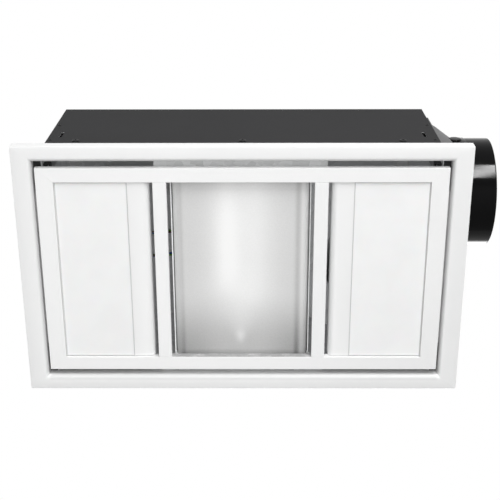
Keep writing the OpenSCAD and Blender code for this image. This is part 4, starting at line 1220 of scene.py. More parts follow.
def wound_wire(
    node: str,
    finish: Finish,
    centre: Point,
    radius: float,
    wire: float,
    turns: float,
    length: float,
    spans: int,
) -> None:
    """Winds a wire into a coil along Y, which stands for a node.

    Args:
        node: The node's name.
        finish: The finish.
        centre: Where the coil's far end lies, in millimetres.
        radius: The coil's radius.
        wire: The wire's radius.
        turns: How many turns it has.
        length: The coil's length.
        spans: Spans in each turn.
    """
    seed = Solid().block((-0.01, -0.01, -0.01), (0.01, 0.01, 0.01)).object(node + "_made")
    sizes = {"Radius": radius * MM, "Wire": wire * MM, "Length": length * MM, "Turns": turns, "Spans": spans}
    finished(coil_tree().run(seed, finish, centre, (90, 0, 0), **sizes), finish, [node])


# Fasteners


class Recess(Enum):
    """How a screw is driven."""

    CROSS = "cross"
    SLOT = "slot"


@dataclass(frozen=True)
class Screw:
    """A screw whose head sits on z = 0 and stands out along +Z, with its thread below."""

    head_r: float
    head_h: float
    thread_r: float
    thread_l: float
    recess: Recess = Recess.CROSS
    pitch: float = 0.9

    def build(self, name: str) -> bpy.types.Object:
        """Makes one screw at the origin."""
        profile = [(0.0, -self.thread_l)]
        turns = max(3, int(self.thread_l / self.pitch))
        rise = self.thread_l / turns
        for i in range(turns):
            z = (i + 0.25) * rise - self.thread_l
            profile += [(self.thread_r * 0.84, z), (self.thread_r, z + 0.3 * rise)]
        profile += [(self.thread_r * 0.9, 0.0), (self.head_r, 0.0)]
        profile += [(self.head_r * c, self.head_h * (0.35 + 0.65 * s)) for c, s in arc(0, 0, 1, 0, 84, 7)]
        head = Solid().lathe([*profile, (0.0, self.head_h)], steps=28).object(name)
        reach, half, top = self.head_r * 0.56, self.head_r * 0.12, self.head_h + 1
        cuts = [(reach, half, 0.38), (half, reach, 0.4)]
        for x, y, floor in cuts[: 1 if self.recess is Recess.SLOT else 2]:
            cut_away(head, Solid().block((-x, -y, self.head_h * floor), (x, y, top)).object("recess"))
        return soften(head, 0)


# Sub-assemblies


@dataclass
class TrimFrame:
    """The moulded frame that covers the edge of the ceiling's cut-out."""

    half_x: float = 300.0
    half_y: float = 178.0
    open_x: float = 273.5
    open_y: float = 157.0
    face_z: float = -16.0
    top_z: float = -1.2
    roll: float = 6.0
    wall: float = 1.8
    rim: float = 0.9
    ledge_x: float = 262.5
    ledge_y: float = 112.0
    ledge_z: float = -3.2
    rib_z: float = -4.2
    screw_x: float = 268.5
    screw_y: float = 100.0

    def shell(self) -> None:
        """The frame's skin: outer rim, flat face and rolled inner lip."""
        z, w, r = self.face_z, self.wall, self.roll
        inner, outer = (self.open_x, self.open_y), (self.half_x, self.half_y)
        steps = [(inner, 0.0, 0.6, self.top_z)]
        steps += [(inner, u, 0.6 + u * 0.2, z + v) for u, v in arc(r, r, r, 180, 270, 9)]
        steps += [(outer, u, 1.1 + u, z + v) for u, v in arc(-self.rim, self.rim, self.rim, 270, 360, 5)]
        steps += [(outer, 0.0, 1.1, 0.0), (outer, -w, 1.0, 0.0), (outer, -w, 1.0, z + w)]
        steps.append((inner, r, 1.4, z + w))
        steps += [(inner, u, 0.6 + u * 0.2, z + v) for u, v in arc(r, r, r - w, 270, 180, 6)[1:]]
        steps.append((inner, w, 0.8, self.top_z))
        loops = [rounded_loop(x + u, y + u, corner, up) for (x, y), u, corner, up in steps]
        skin = Solid().loft(loops, wrap=True)
        skin.place("trim_shell", WHITE_TRIM, ["trim_frame"], "white_plastic", angle=40)

    def ledges(self) -> None:
        """The two ribbed ledges inside the ends, which take the trim's screws."""
        ledges, holes = Solid(), Solid()
        for side in (-1, 1):
            low, high = sorted((side * self.ledge_x, side * (self.open_x + self.wall / 2)))
            ledges.block((low, -self.ledge_y, self.ledge_z), (high, self.ledge_y, self.top_z))
            for y in range(-90, 91, 30):
                ledges.block((low + 2, y - 0.6, self.rib_z), (high - 1, y + 0.6, self.ledge_z + 0.1))
        sink = [(0, -4), (3.55, -4), (3.55, -3.2), (2.05, -1.7), (2.05, 0), (0, 0)]
        for sx, sy in CORNERS:
            holes.lathe(sink, centre=(sx * self.screw_x, sy * self.screw_y, 0), steps=32)
        piece = cut_away(ledges.object("trim_ledges"), holes.object("screw_holes"))
        finished(soften(piece, 0.25), WHITE_TRIM, ["trim_frame"])

    def screws(self) -> None:
        """Four countersunk screws that point up through the ledges."""
        profile = [
            (0, 7.2), (0.6, 7.2), (1.7, 5.6), (1.55, 5.0), (1.9, 4.6), (1.6, 4.0),
            (1.9, 3.6), (1.9, 1.5), (3.35, 0.06), (3.2, 0), (0, 0),
        ]
        screw = Solid().lathe(profile, steps=28).object("trim_screws_made")
        for x, y, deep in ((2.0, 0.4, 0.9), (0.4, 2.0, 0.88)):
            cut_away(screw, Solid().block((-x, -y, -1), (x, y, deep)).object("recess"))
        z = self.ledge_z
        spots = [((sx * self.screw_x, sy * self.screw_y, z), (0, 0, 20 * sx + 35 * sy)) for sx, sy in CORNERS]
        at_places(soften(screw, 0), spots, ZINC_PLATED, ["trim_screws"])

    def build(self) -> None:
        """Makes and places every piece of the trim."""
        self.shell()
        self.ledges()
        self.screws()


@dataclass
class FloatingCover:
    """The cover that floats in the trim's opening and draws down on four legs."""

    rail_round: float = 0.45
    bar_round: float = 0.5
    pad_low: Point = (236.0, 133.0, -9.9)
    pad_high: Point = (246.0, 143.0, -9.1)
    shade_felt_low: Point = (-99.2, 128.3, -13.7)
    shade_felt_high: Point = (95.0, 128.67, -4.6)

    def build(self) -> None:
        """Makes and places every piece of the cover."""
        for side in ("front", "back", "left", "right"):
            refined("cover_rail_" + side, WHITE_COVER, self.rail_round, 3, "cover", self.mitred)
        for side in ("left", "right"):
            refined("bar_" + side, WHITE_COVER, self.bar_round, 3, "cover")
        refined("corner_keys", ALUMINIUM, 0.4, body="cover")
        refined("cover_legs", SPRING_STEEL, 0.2, body="cover")
        self.felts()

    @staticmethod
    def mitred(outward: Vector) -> bool:
        """Whether a face is the mitred end of a rail."""
        return abs(outward.x) > 0.5 and abs(outward.y) > 0.5

    def felts(self) -> None:
        """Thin pads on the keys' arms, and a strip on the far rail that closes the gap to the glass; the
        strip's grey is painted shade on the rail's inner wall.
        """
        Solid().four_blocks(self.pad_low, self.pad_high).place("key_pads", SEAL_FOAM, width=0.2, body="cover")
        Solid().block(self.shade_felt_low, self.shade_felt_high).place("rail_felt", SHADE_FELT, width=0.1, body="cover")


@dataclass
class Casing:
    """The folded steel box above the ceiling."""

    case_y: float = 168.0
    screw_z: float = 42.0
    screw_x: tuple[float, float, float] = (-224.0, 0.0, 215.0)
    rivet_x: float = 259.0
    rivet_z: Pair = (48.0, 120.0)
    # corners of the black pads behind the wall slots, which are painted shade
    pad_low: Point = (244.0, 164.4, 59.0)
    pad_high: Point = (252.0, 166.75, 89.0)

    def build(self) -> None:
        """Makes and places every piece of the casing."""
        refined("casing_body", GREY_CASING, 0.5, 3)
        refined("end_plate_left", GREY_CASING, 0.45)
        refined("end_plate_right", GREY_CASING, 0.45)
        refined("cover_catches", BLACK_PLASTIC, 0.5)
        self.screws()
        self.rivets()
        self.slot_pads()

    def walls(self, xs: Sequence[float], zs: Sequence[float]) -> list[tuple[Point, Point]]:
        """Places on both long walls with their outward turns."""
        return [((x, sy * self.case_y, z), (-90.0 * sy, 0.0, 0.0)) for sy in (-1, 1) for x in xs for z in zs]

    def screws(self) -> None:
        """Six pan-head screws through the long walls."""
        screw = Screw(5.0, 2.2, 2.0, 5.2).build("casing_screws_made")
        spots = self.walls(self.screw_x, [self.screw_z])
        at_places(screw, spots, BLACK_SCREW, ["casing_screws"])

    def rivets(self) -> None:
        """Eight pop rivets near the corners, each with its mandrel in a dimple."""
        profile = [
            (0, -1.0), (1.4, -1.0), (1.4, 0), (2.6, 0), (2.45, 0.45), (1.9, 0.85),
            (1.1, 1.0), (1.0, 0.5), (0.7, 0.45), (0.6, 0.7), (0, 0.75),
        ]
        rivet = soften(Solid().lathe(profile, steps=20).object("casing_rivets_made"), 0)
        spots = self.walls([-self.rivet_x, self.rivet_x], self.rivet_z)
        at_places(rivet, spots, BLACK_SCREW, ["casing_rivets"])

    def slot_pads(self) -> None:
        """Black pads behind the upright slots of the long walls: painted shade that turns the slots black."""
        Solid().four_blocks(self.pad_low, self.pad_high).place("slot_pads", SLOT_SHADE_PAD, width=0.5)


@dataclass
class HeatModule:
    """The lamp in its box, behind the frosted glass."""

    middle: float = -2.1
    glass_half: float = 91.0
    glass_y: float = 130.9
    glass_z: float = -3.0
    glass_t: float = 4.0
    bend: float = 9.0
    rise: float = 14.0
    lamp_z: float = 24.0
    lamp_half: float = 115.0
    coil_half: float = 98.0
    stay_step: float = 22.0
    screw_place: Point = (7.5, 122.0, 16.0)

    def glass(self) -> None:
        """The trough of glass, with its long edges turned up and ground round."""
        w, t, b, h = self.glass_half, self.glass_t, self.bend, self.rise
        outer = arc(b - w, b, b, 180, 270, 10) + arc(w - b, b, b, 270, 360, 10)
        inner = arc(w - b, b, b - t, 360, 270, 10) + arc(b - w, b, b - t, 270, 180, 10)
        lip = arc(w - t / 2, h - t / 2, t / 2, 0, 180, 6)
        other = arc(t / 2 - w, h - t / 2, t / 2, 0, 180, 6)
        outline = [(x + self.middle, z + self.glass_z) for x, z in [*outer, *lip, *inner, *other]]
        pane = Solid().prism(outline, Axis.Y, -self.glass_y, self.glass_y)
        pane.place("glass_made", FrostedGlass(), ["glass_panel"], "frosted_glass", 0.5, 50)

    def lamp(self) -> None:
        """The quartz tube with flattened ends, its caps, and the coil inside."""
        centre, end = (self.middle, 0.0, self.lamp_z), self.lamp_half
        outer = mirrored([(0.0, 6.0), (4.2, 6.4), (5.6, 8.5), (6.0, 12.0)], -end, end)
        inner = mirrored([(0.0, 8.0), (3.6, 8.4), (4.9, 11.0), (5.0, 14.0)], -end, end)
        tube = Solid().lathe(outer + inner[::-1], Axis.Y, centre, 40)
        tube.place("heat_lamp_made", Quartz(), ["heat_lamp"], "quartz")
        caps, stays = Solid(), Solid()
        for side in (-1, 1):
            cap = [(0, end - 9), (6.0, end - 9), (6.0, end - 0.6), (5.4, end), (0, end)]
            caps.lathe([(r, side * y) for r, y in cap], Axis.Y, centre, 32)
        caps.place("lamp_caps", Ceramic(), ["heat_lamp"], width=0.3)
        start = (self.middle, self.coil_half, self.lamp_z)
        wound_wire("lamp_filament", TUNGSTEN, start, 1.3, 0.3, 112.0, 2 * self.coil_half, 12)
        for i in range(-4, 5):
            y = i * self.stay_step
            stays.drum(4.85, y - 0.3, y + 0.3, Axis.Y, centre, 24, 1.75)
        for side in (-1, 1):
            low, high = sorted((side * (self.coil_half - 1), side * (end - 6)))
            stays.drum(0.5, low, high, Axis.Y, centre, 12)
        stays.place("filament_stays", TUNGSTEN, ["lamp_filament"])

    def build(self) -> None:
        """Makes and places every piece of the heat module."""
        self.glass()
        refined("heat_box", HEAT_BOX_LIT_SHEET, 0.4)
        refined("reflector", BRIGHT_SHEET, 0.3)
        refined("lamp_holders", Ceramic(), 0.9, 3)
        refined("glass_clips", SPRING_STEEL, 0.25)
        refined("thermal_cutout", BLACK_PLASTIC, 0.3)
        self.lamp()
        screw = Screw(3.0, 1.6, 1.2, 3.0, Recess.SLOT).build("holder_screws")
        dx, dy, z = self.screw_place
        sides = [(sx * dx, sy * dy) for sy in (-1, 1) for sx in (-1, 1)]
        at_places(screw, [((self.middle + x, y, z), (180.0, 0.0, 30.0 * x)) for x, y in sides], BRASS)


@dataclass
class LightPanels:
    """The two flat light panels and the vent strips beside them."""

    vent_in: Pair = (-122.45, 118.25)
    vent_out: Pair = (-151.45, 147.25)
    tray_out: Pair = (-246.7, 246.7)
    panel_y: float = 128.1
    panel_z: float = -11.4
    tray_top: float = 9.0
    roll: float = 8.5
    sheet: float = 1.0
    board_y: float = 120.1
    board_t: float = 1.6
    lamp_span: float = 112.1

    def strip(self, side: int, word: str) -> None:
        """One folded strip: flat beside the panel, then rolled up along the air slot.

        Args:
            side: 0 for the left strip, 1 for the right.
            word: The side's name.
        """
        w = abs(self.vent_in[side] - self.vent_out[side])
        r, t, top = self.roll, self.sheet, self.tray_top - self.panel_z
        line = [(0.0, top), (0.0, 0.5), *arc(0.5, 0.5, 0.5, 180, 270, 3)]
        line += [*arc(w - r, r, r, 270, 360, 14), (w, top), (w - t, top)]
        line += [*arc(w - r, r, r - t, 360, 270, 14), (t, t), (t, top)]
        way = 1 if side == 0 else -1
        outline = [(self.vent_out[side] + way * a, self.panel_z + b) for a, b in line]
        piece = Solid().prism(outline, Axis.Y, -self.panel_y, self.panel_y)
        piece.place(f"vent_strip_{word}_made", WHITE_COVER, ["vent_strip_" + word], "white_paint", 0.2, 50)

    def board_lamps(self, side: int, name: str) -> None:
        """The board under the tray's lid with its rows of small lamps.

        Args:
            side: 0 for the left panel, 1 for the right.
            name: The board's node.
        """
        ends = sorted((self.tray_out[side], self.vent_out[side]))
        low, high = ends[0] + 3.0, ends[1] - 3.0
        under = self.tray_top - self.sheet - self.board_t
        board = Solid().block((low, -self.board_y, under), (high, self.board_y, under + self.board_t))
        board.place(name + "_film", BoardFilm(), [name], "circuit_board", 0.25)
        steps = ((1.75, 1.4, 0.0), (1.75, 1.4, -0.55), (1.5, 1.15, -0.75))
        case = Solid().loft([rounded_loop(x, y, 0.3, z, 2) for x, y, z in steps])
        glow = Solid().loft([rounded_loop(1.2, 0.9, 0.4, -0.7, 3), rounded_loop(1.1, 0.8, 0.4, -0.85, 3)])
        middle = ((low + high) / 2, 0.0, under)
        grid = {"Across": 3, "Along": 11, "StepX": (high - low) / 3 * MM, "StepY": self.lamp_span / 5.5 * MM}
        for part, word, finish in ((case, "_cases", WHITE_PLASTIC), (glow, "_lamps", PHOSPHOR)):
            finished(row_tree().run(part.object(name + word), finish, middle, **grid), finish, [name])

    def build(self) -> None:
        """Makes and places every piece of the light panels."""
        for side, word in enumerate(("left", "right")):
            self.strip(side, word)
            refined("diffuser_" + word, Opal(), 0.15)
            refined("light_tray_" + word, GREY_TRAY, 0.3)
            self.board_lamps(side, "light_board_" + word)
        self.seals()

    def seals(self) -> None:
        """Thin white lips along the panels' outer edges, which close the gaps to the cover's rails."""
        lips = Solid()
        for out in self.tray_out:
            near, far = (out + math.copysign(reach, out) for reach in (0.03, 0.43))
            lips.block((near, -self.panel_y, self.panel_z + 0.2), (far, self.panel_y, self.panel_z + 4.0))
        lips.place("panel_seals", WHITE_PLASTIC, width=0.1)


@dataclass
class Blower:
    """The scroll, its wheel, and the motor that hangs over it."""

    x: float = 165.0
    y: float = 12.0
    wheel_z: float = 66.0
    wheel_top: float = 126.0
    wheel_r: float = 72.0
    chord: float = 14.0
    blades: int = 40
    blade_t: float = 0.8
    hub_r: float = 9.7
    motor_z: float = 141.0
    motor_top: float = 187.0
    motor_r: float = 38.0
    vent_z: float = 18.0
    rotor_z: float = 152.0
    rotor_h: float = 24.0
    coil_r: float = 26.9
    coil_gap: float = 2.2
    grommet_z: float = 136.0
    screw_r: float = 48.0

    def wheel(self) -> None:
        """The wheel: back plate with its hub, front ring, and curved blades."""
        c, t = (self.x, self.y, 0.0), self.wheel_top
        plate = [
            (4.0, -18), (4.6, -18), (9.4, -18), (10.0, -17.4), (10.0, -3), (12.0, 0), (40.0, 0), (71.4, 0),
            (72.0, 0.5), (72.0, 1.5), (71.4, 2), (40.0, 2), (36.0, 1.4), (16.0, 1.4), (12.5, 2), (4.0, 2),
        ]
        ring = mirrored([(72.0, 0.4), (71.6, 0.0), (58.4, 0.0), (58.0, 0.4)], self.wheel_z - 2, self.wheel_z)
        disc = Solid().lathe([(r, t + h) for r, h in plate], centre=c, steps=96)
        disc.lathe(ring, centre=c, steps=96)
        disc.place("wheel_plates", ALUMINIUM, ["fan_wheel"], "aluminium", body="fan")
        outline: list[Pair] = []
        for turn, steps in ((0.0, range(8)), (self.blade_t, range(7, -1, -1))):
            for f in (i / 7 for i in steps):
                r = self.wheel_r - self.chord + (self.chord - 0.4) * f
                a = math.radians(10 * f * f) + turn / r
                outline.append((r * math.cos(a), r * math.sin(a)))
        blade = Solid().prism(outline, Axis.Z, self.wheel_z - 0.2, t + 0.2).object("wheel_blades")
        blades = ring_tree().run(blade, ALUMINIUM, c, Count=self.blades, Radius=0.0)
        finished(soften(blades, 0, angle=40), ALUMINIUM, ["fan_wheel"], "fan")
        screw = Screw(1.8, 0.6, 1.2, 2.0, Recess.SLOT).build("wheel_set_screw")
        at_places(screw, [((self.x + self.hub_r, self.y, t - 11), (0, 90, 0))], ZINC_PLATED, body="fan")

    def housing(self) -> None:
        """The motor's can: rounded shoulders, a rolled seam and rows of vents."""
        z0, z1, r = self.motor_z, self.motor_top, self.motor_r
        vent = z0 + self.vent_z
        line = [(11.3, z0), (20.0, z0), (30.0, z0), (r - 4, z0), *arc(r - 4, z0 + 4, 4, 270, 360, 5)]
        line += [(r, vent), (r, vent + 6), (r, vent + 12), *arc(r - 4, z1 - 4, 4, 0, 90, 5)]
        line += [(30.0, z1), (20.0, z1), (11.3, z1)]
        mesh = bmesh.new()
        rings = []
        for c, s in arc(0, 0, 1, 0, 360, 72)[:-1]:
            spots = [(self.x + a * c, self.y + a * s, b) for a, b in line]
            rings.append([mesh.verts.new(Vector(spot) * MM) for spot in spots])
        for i, (ring, after) in enumerate(zip(rings, rings[1:] + rings[:1])):
            for j in range(len(line) - 1):
                if i % 6 not in (1, 2, 3) or not (j in (1, len(line) - 3) or line[j][1] == vent):
                    mesh.faces.new((ring[j], after[j], after[j + 1], ring[j + 1]))
        can = from_bmesh("motor_can", mesh)
        wall = can.modifiers.new("wall", "SOLIDIFY")
        wall.thickness, wall.offset = 1.5 * MM, -1.0
        bake_modifiers(can)
        finished(soften(can, 0.25, 2, 40), MOTOR_CAN, ["motor_housing"])

    def windings(self) -> None:
        """The stack of laminations and the coils that bulge from it."""
        z0, z1 = self.rotor_z, self.rotor_z + self.rotor_h
        stack = Solid().drum(36.4, z0, z1, Axis.Z, (self.x, self.y, 0.0), 72, 20.8)
        stack.place("motor_stack", LAMINATIONS, ["motor_windings"], "copper", 0.3)
        coils = Solid()
        for base in (z0 - self.coil_gap, z1 + self.coil_gap):
            loops = []
            for t in (2 * math.pi * i / 144 for i in range(144)):
                swell = abs(math.sin(6 * t)) ** 0.5
                deep, high = 3.6 * swell, 1.6 + 1.1 * swell
                ring = [(self.coil_r + deep * a, base + high * b) for a, b in arc(0, 0, 1, 0, 324, 9)]
                loops.append([(self.x + r * math.cos(t), self.y + r * math.sin(t), z) for r, z in ring])
            coils.loft(loops, wrap=True)
        coils.place("motor_coils", COPPER, ["motor_windings"], "copper")

    def turning_parts(self) -> None:
        """Rotor, shaft and bearings."""
        c = (self.x, self.y, 0.0)
        half = [(4.0, 0), (19.3, 0), (20.0, 0.6), (20.0, 3), (19.7, 3.2)]
        rotor = Solid().lathe(mirrored(half, self.rotor_z, self.rotor_z + self.rotor_h), centre=c)
        rotor.place("rotor_made", ROTOR_BARS, ["motor_rotor"], "bearing_steel", body="fan")
        shaft = [(0, 104.0), (3.5, 104.0), (4.0, 104.6), (4.0, 190.2), (3.4, 191.0), (0, 191.0)]
        rod = Solid().lathe(shaft, centre=c, steps=40)
        rod.place("shaft_made", GROUND_STEEL, ["motor_shaft"], "bearing_steel", body="fan")
        race = [(4.1, 0), (5.7, 0), (5.7, 0.6), (8.8, 0.6), (8.8, 0), (10.7, 0), (11.0, 0.3)]
        races = Solid()
        for z in (self.motor_z, self.motor_top - 7):
            races.lathe(mirrored(race, z, z + 7), centre=c, steps=56)
        races.place("bearings_made", GROUND_STEEL, ["motor_bearings"], "bearing_steel")

    def mounting(self) -> None:
        """Bracket, hangers, grommets and screws of the motor."""
        refined("motor_bracket", ZINC_SHEET, 0.4)
        refined("blower_hangers", ZINC_SHEET, 0.3)
        spots = arc(self.x, self.y, self.screw_r, 90, 330, 2)
        half = [(1.8, 0.1), (5.4, 0.0), (6.0, 0.4), (6.0, 0.9), (4.9, 1.2)]
        grommet = soften(Solid().lathe(mirrored(half, 0.0, 3.0), steps=32).object("grommets_made"), 0)
        places = [((a, b, self.grommet_z), (0, 0, 0)) for a, b in spots]
        at_places(grommet, places, RUBBER, ["motor_grommets"])
        screw = Screw(4.0, 2.0, 1.6, 5.0).build("motor_screws_made")
        places = [((a, b, self.motor_z), (0, 0, 7 * a)) for a, b in spots]
        at_places(screw, places, ZINC_PLATED, ["motor_screws"])

    def build(self) -> None:
        """Makes and places every piece of the blower."""
        refined("scroll_body", ZINC_SHEET, 0.4)
        refined("scroll_inlet_plate", ZINC_SHEET, 0.4)
        self.wheel()
        self.housing()
        self.windings()
        self.turning_parts()
        self.mounting()


@dataclass
class DuctOutlet:
    """The cone, the black spigot and the damper in it."""

    y: float = -78.0
    z: float = 96.0
    plate_x: float = 265.0
    plate_t: float = 1.2
    spigot_x: float = 291.0
    end_x: float = 343.0
    radius: float = 75.0
    base_radius: float = 94.0
    rod_x: float = 294.6
    rod_half: float = 76.1
    boss_radius: float = 9.5
    boss_stand: float = 2.6
    plate_y: Pair = (-168.0, 18.0)
    plate_z: Pair = (14.0, 192.0)
    plate_cut: float = 32.0
    screw_inset: float = 8.0
    high_screw: Pair = (69.0, 74.0)
    rib_radii: Pair = (34.0, 58.0)
    spring_half: float = 11.4

    def screw_spots(self, x: float) -> list[Point]:
        """The four screws' places at one X."""
        (across, up), (near, far), inset = self.high_screw, self.plate_y, self.screw_inset
        low = self.plate_z[0] + inset
        high = [(x, self.y + side * across, self.z + up) for side in (-1, 1)]
        return [*high, (x, near + inset, low), (x, far - inset, low)]

    def plate(self) -> None:
        """The cone's flat plate, with two cut corners and its holes."""
        (near, far), (low, high), cut_off = self.plate_y, self.plate_z, self.plate_cut
        outline = [(near, low), (far, low), (far, high - cut_off), (far - cut_off, high)]
        outline += [(near + cut_off, high), (near, high - cut_off)]
        piece = Solid().prism(outline, Axis.X, self.plate_x, self.plate_x + self.plate_t).object("cone_plate")
        holes = Solid().drum(77.9, -3, 3, Axis.X, (self.plate_x, self.y, self.z), 96)
        for spot in self.screw_spots(self.plate_x):
            holes.drum(2.15, -3, 4, Axis.X, spot, 20)
        cut_away(piece, holes.object("cone_holes"))
        finished(soften(piece, 0.3), CONE_LIT_GREY, ["duct_transition"])

    def cone(self) -> None:
        """The cone, cut flat at two of the plate's edges, with room for the rod's bosses."""
        length, base = self.spigot_x - self.plate_x, self.base_radius
        line = [(78.0, 0.4), (base + 0.2, 0.4), (base - 1.6, 2.4), (75.4, length - 0.6), (75.0, length)]
        line += [(70.6, length), (70.1, length - 0.5), (77.7, 1.0)]
        cone = Solid().lathe(line, Axis.X, (self.plate_x, self.y, self.z), 160).object("cone_made")
        for end in ((300, self.plate_y[0] + 0.2, 220), (300, 40, self.plate_z[0] + 0.2)):
            cut_away(cone, Solid().block((260, -190, -20), end).object("flat"))
        room = Solid()
        for low, high in ((-100, -72), (72, 100)):
            room.drum(self.boss_radius + 0.3, low, high, Axis.Y, (self.rod_x, self.y, self.z))
        cut_away(cone, room.object("boss_room"))
        finished(soften(cone, 0, angle=36), CONE_LIT_GREY, ["duct_transition"])

    def spigot(self) -> None:
        """The round spigot with its thicker root and the rod's two bosses."""
        r, end, b = self.radius, self.end_x - self.spigot_x, self.boss_radius
        line = [(r - 2, 0.0), (r + 0.8, 0.0), (r + 0.8, 17.2), (r + 0.5, 17.8), (r, 18.2), (r, end - 1.6)]
        line += [*arc(r - 1.0, end - 1.0, 1.0, 0, 180, 6), (r - 2, end - 2)]
        tube = Solid().lathe(line, Axis.X, (self.spigot_x, self.y, self.z), 144)
        for side in (-1, 1):
            root, top = side * (r - 1.8), side * (r + self.boss_stand)
            dome = [(u, top + side * v) for u, v in arc(b - 2.4, -2.4, 2.4, 0, 90, 6)]
            boss = [(0, root), (b, root), *dome, (0, top)]
            tube.lathe(boss, Axis.Y, (self.rod_x, self.y, self.z), 40)
        tube.place("spigot_made", BLACK_GLOSS, ["duct_spigot"], "black_gloss", angle=38)

    def damper(self) -> None:
        """Rod, two ribbed leaves and the spring that closes them."""
        profile = mirrored([(0, 0), (2.1, 0), (2.5, 0.4)], -self.rod_half, self.rod_half)
        rod = Solid().lathe(profile, Axis.Y, (self.rod_x, self.y, self.z), 24)
        rod.place("damper_rod_made", ZINC_PLATED, ["damper_rod"], "zinc_screw")
        for word, way in (("upper", 1), ("lower", -1)):
            refined("damper_leaf_" + word, ALUMINIUM, 0.22, body="damper_" + word)
            ribs = Solid()
            for r in self.rib_radii:
                bow = arc(0, 0, r, 14, 166, 38)
                ribs.tube([Vector((self.rod_x + 0.5, self.y + a, self.z + way * b)) for a, b in bow], 0.9, 8)
            ribs.place("leaf_ribs_" + word, ALUMINIUM, body="damper_" + word)
        start, length = (self.rod_x, self.y + self.spring_half, self.z), 2 * self.spring_half
        wound_wire("damper_spring", SPRING_STEEL, start, 3.5, 0.62, 15.0, length, 28)

    def build(self) -> None:
        """Makes and places every piece of the outlet."""
        refined("duct_gasket", SEAL_FOAM, 0.25)
        self.plate()
        self.cone()
        screw = Screw(4.5, 2.4, 2.0, 6.0).build("duct_screws_made")
        spots = [(spot, (0.0, 90.0, 0.3 * spot[1])) for spot in self.screw_spots(self.plate_x + self.plate_t)]
        at_places(screw, spots, BLACK_SCREW, ["duct_screws"])
        self.spigot()
        self.damper()


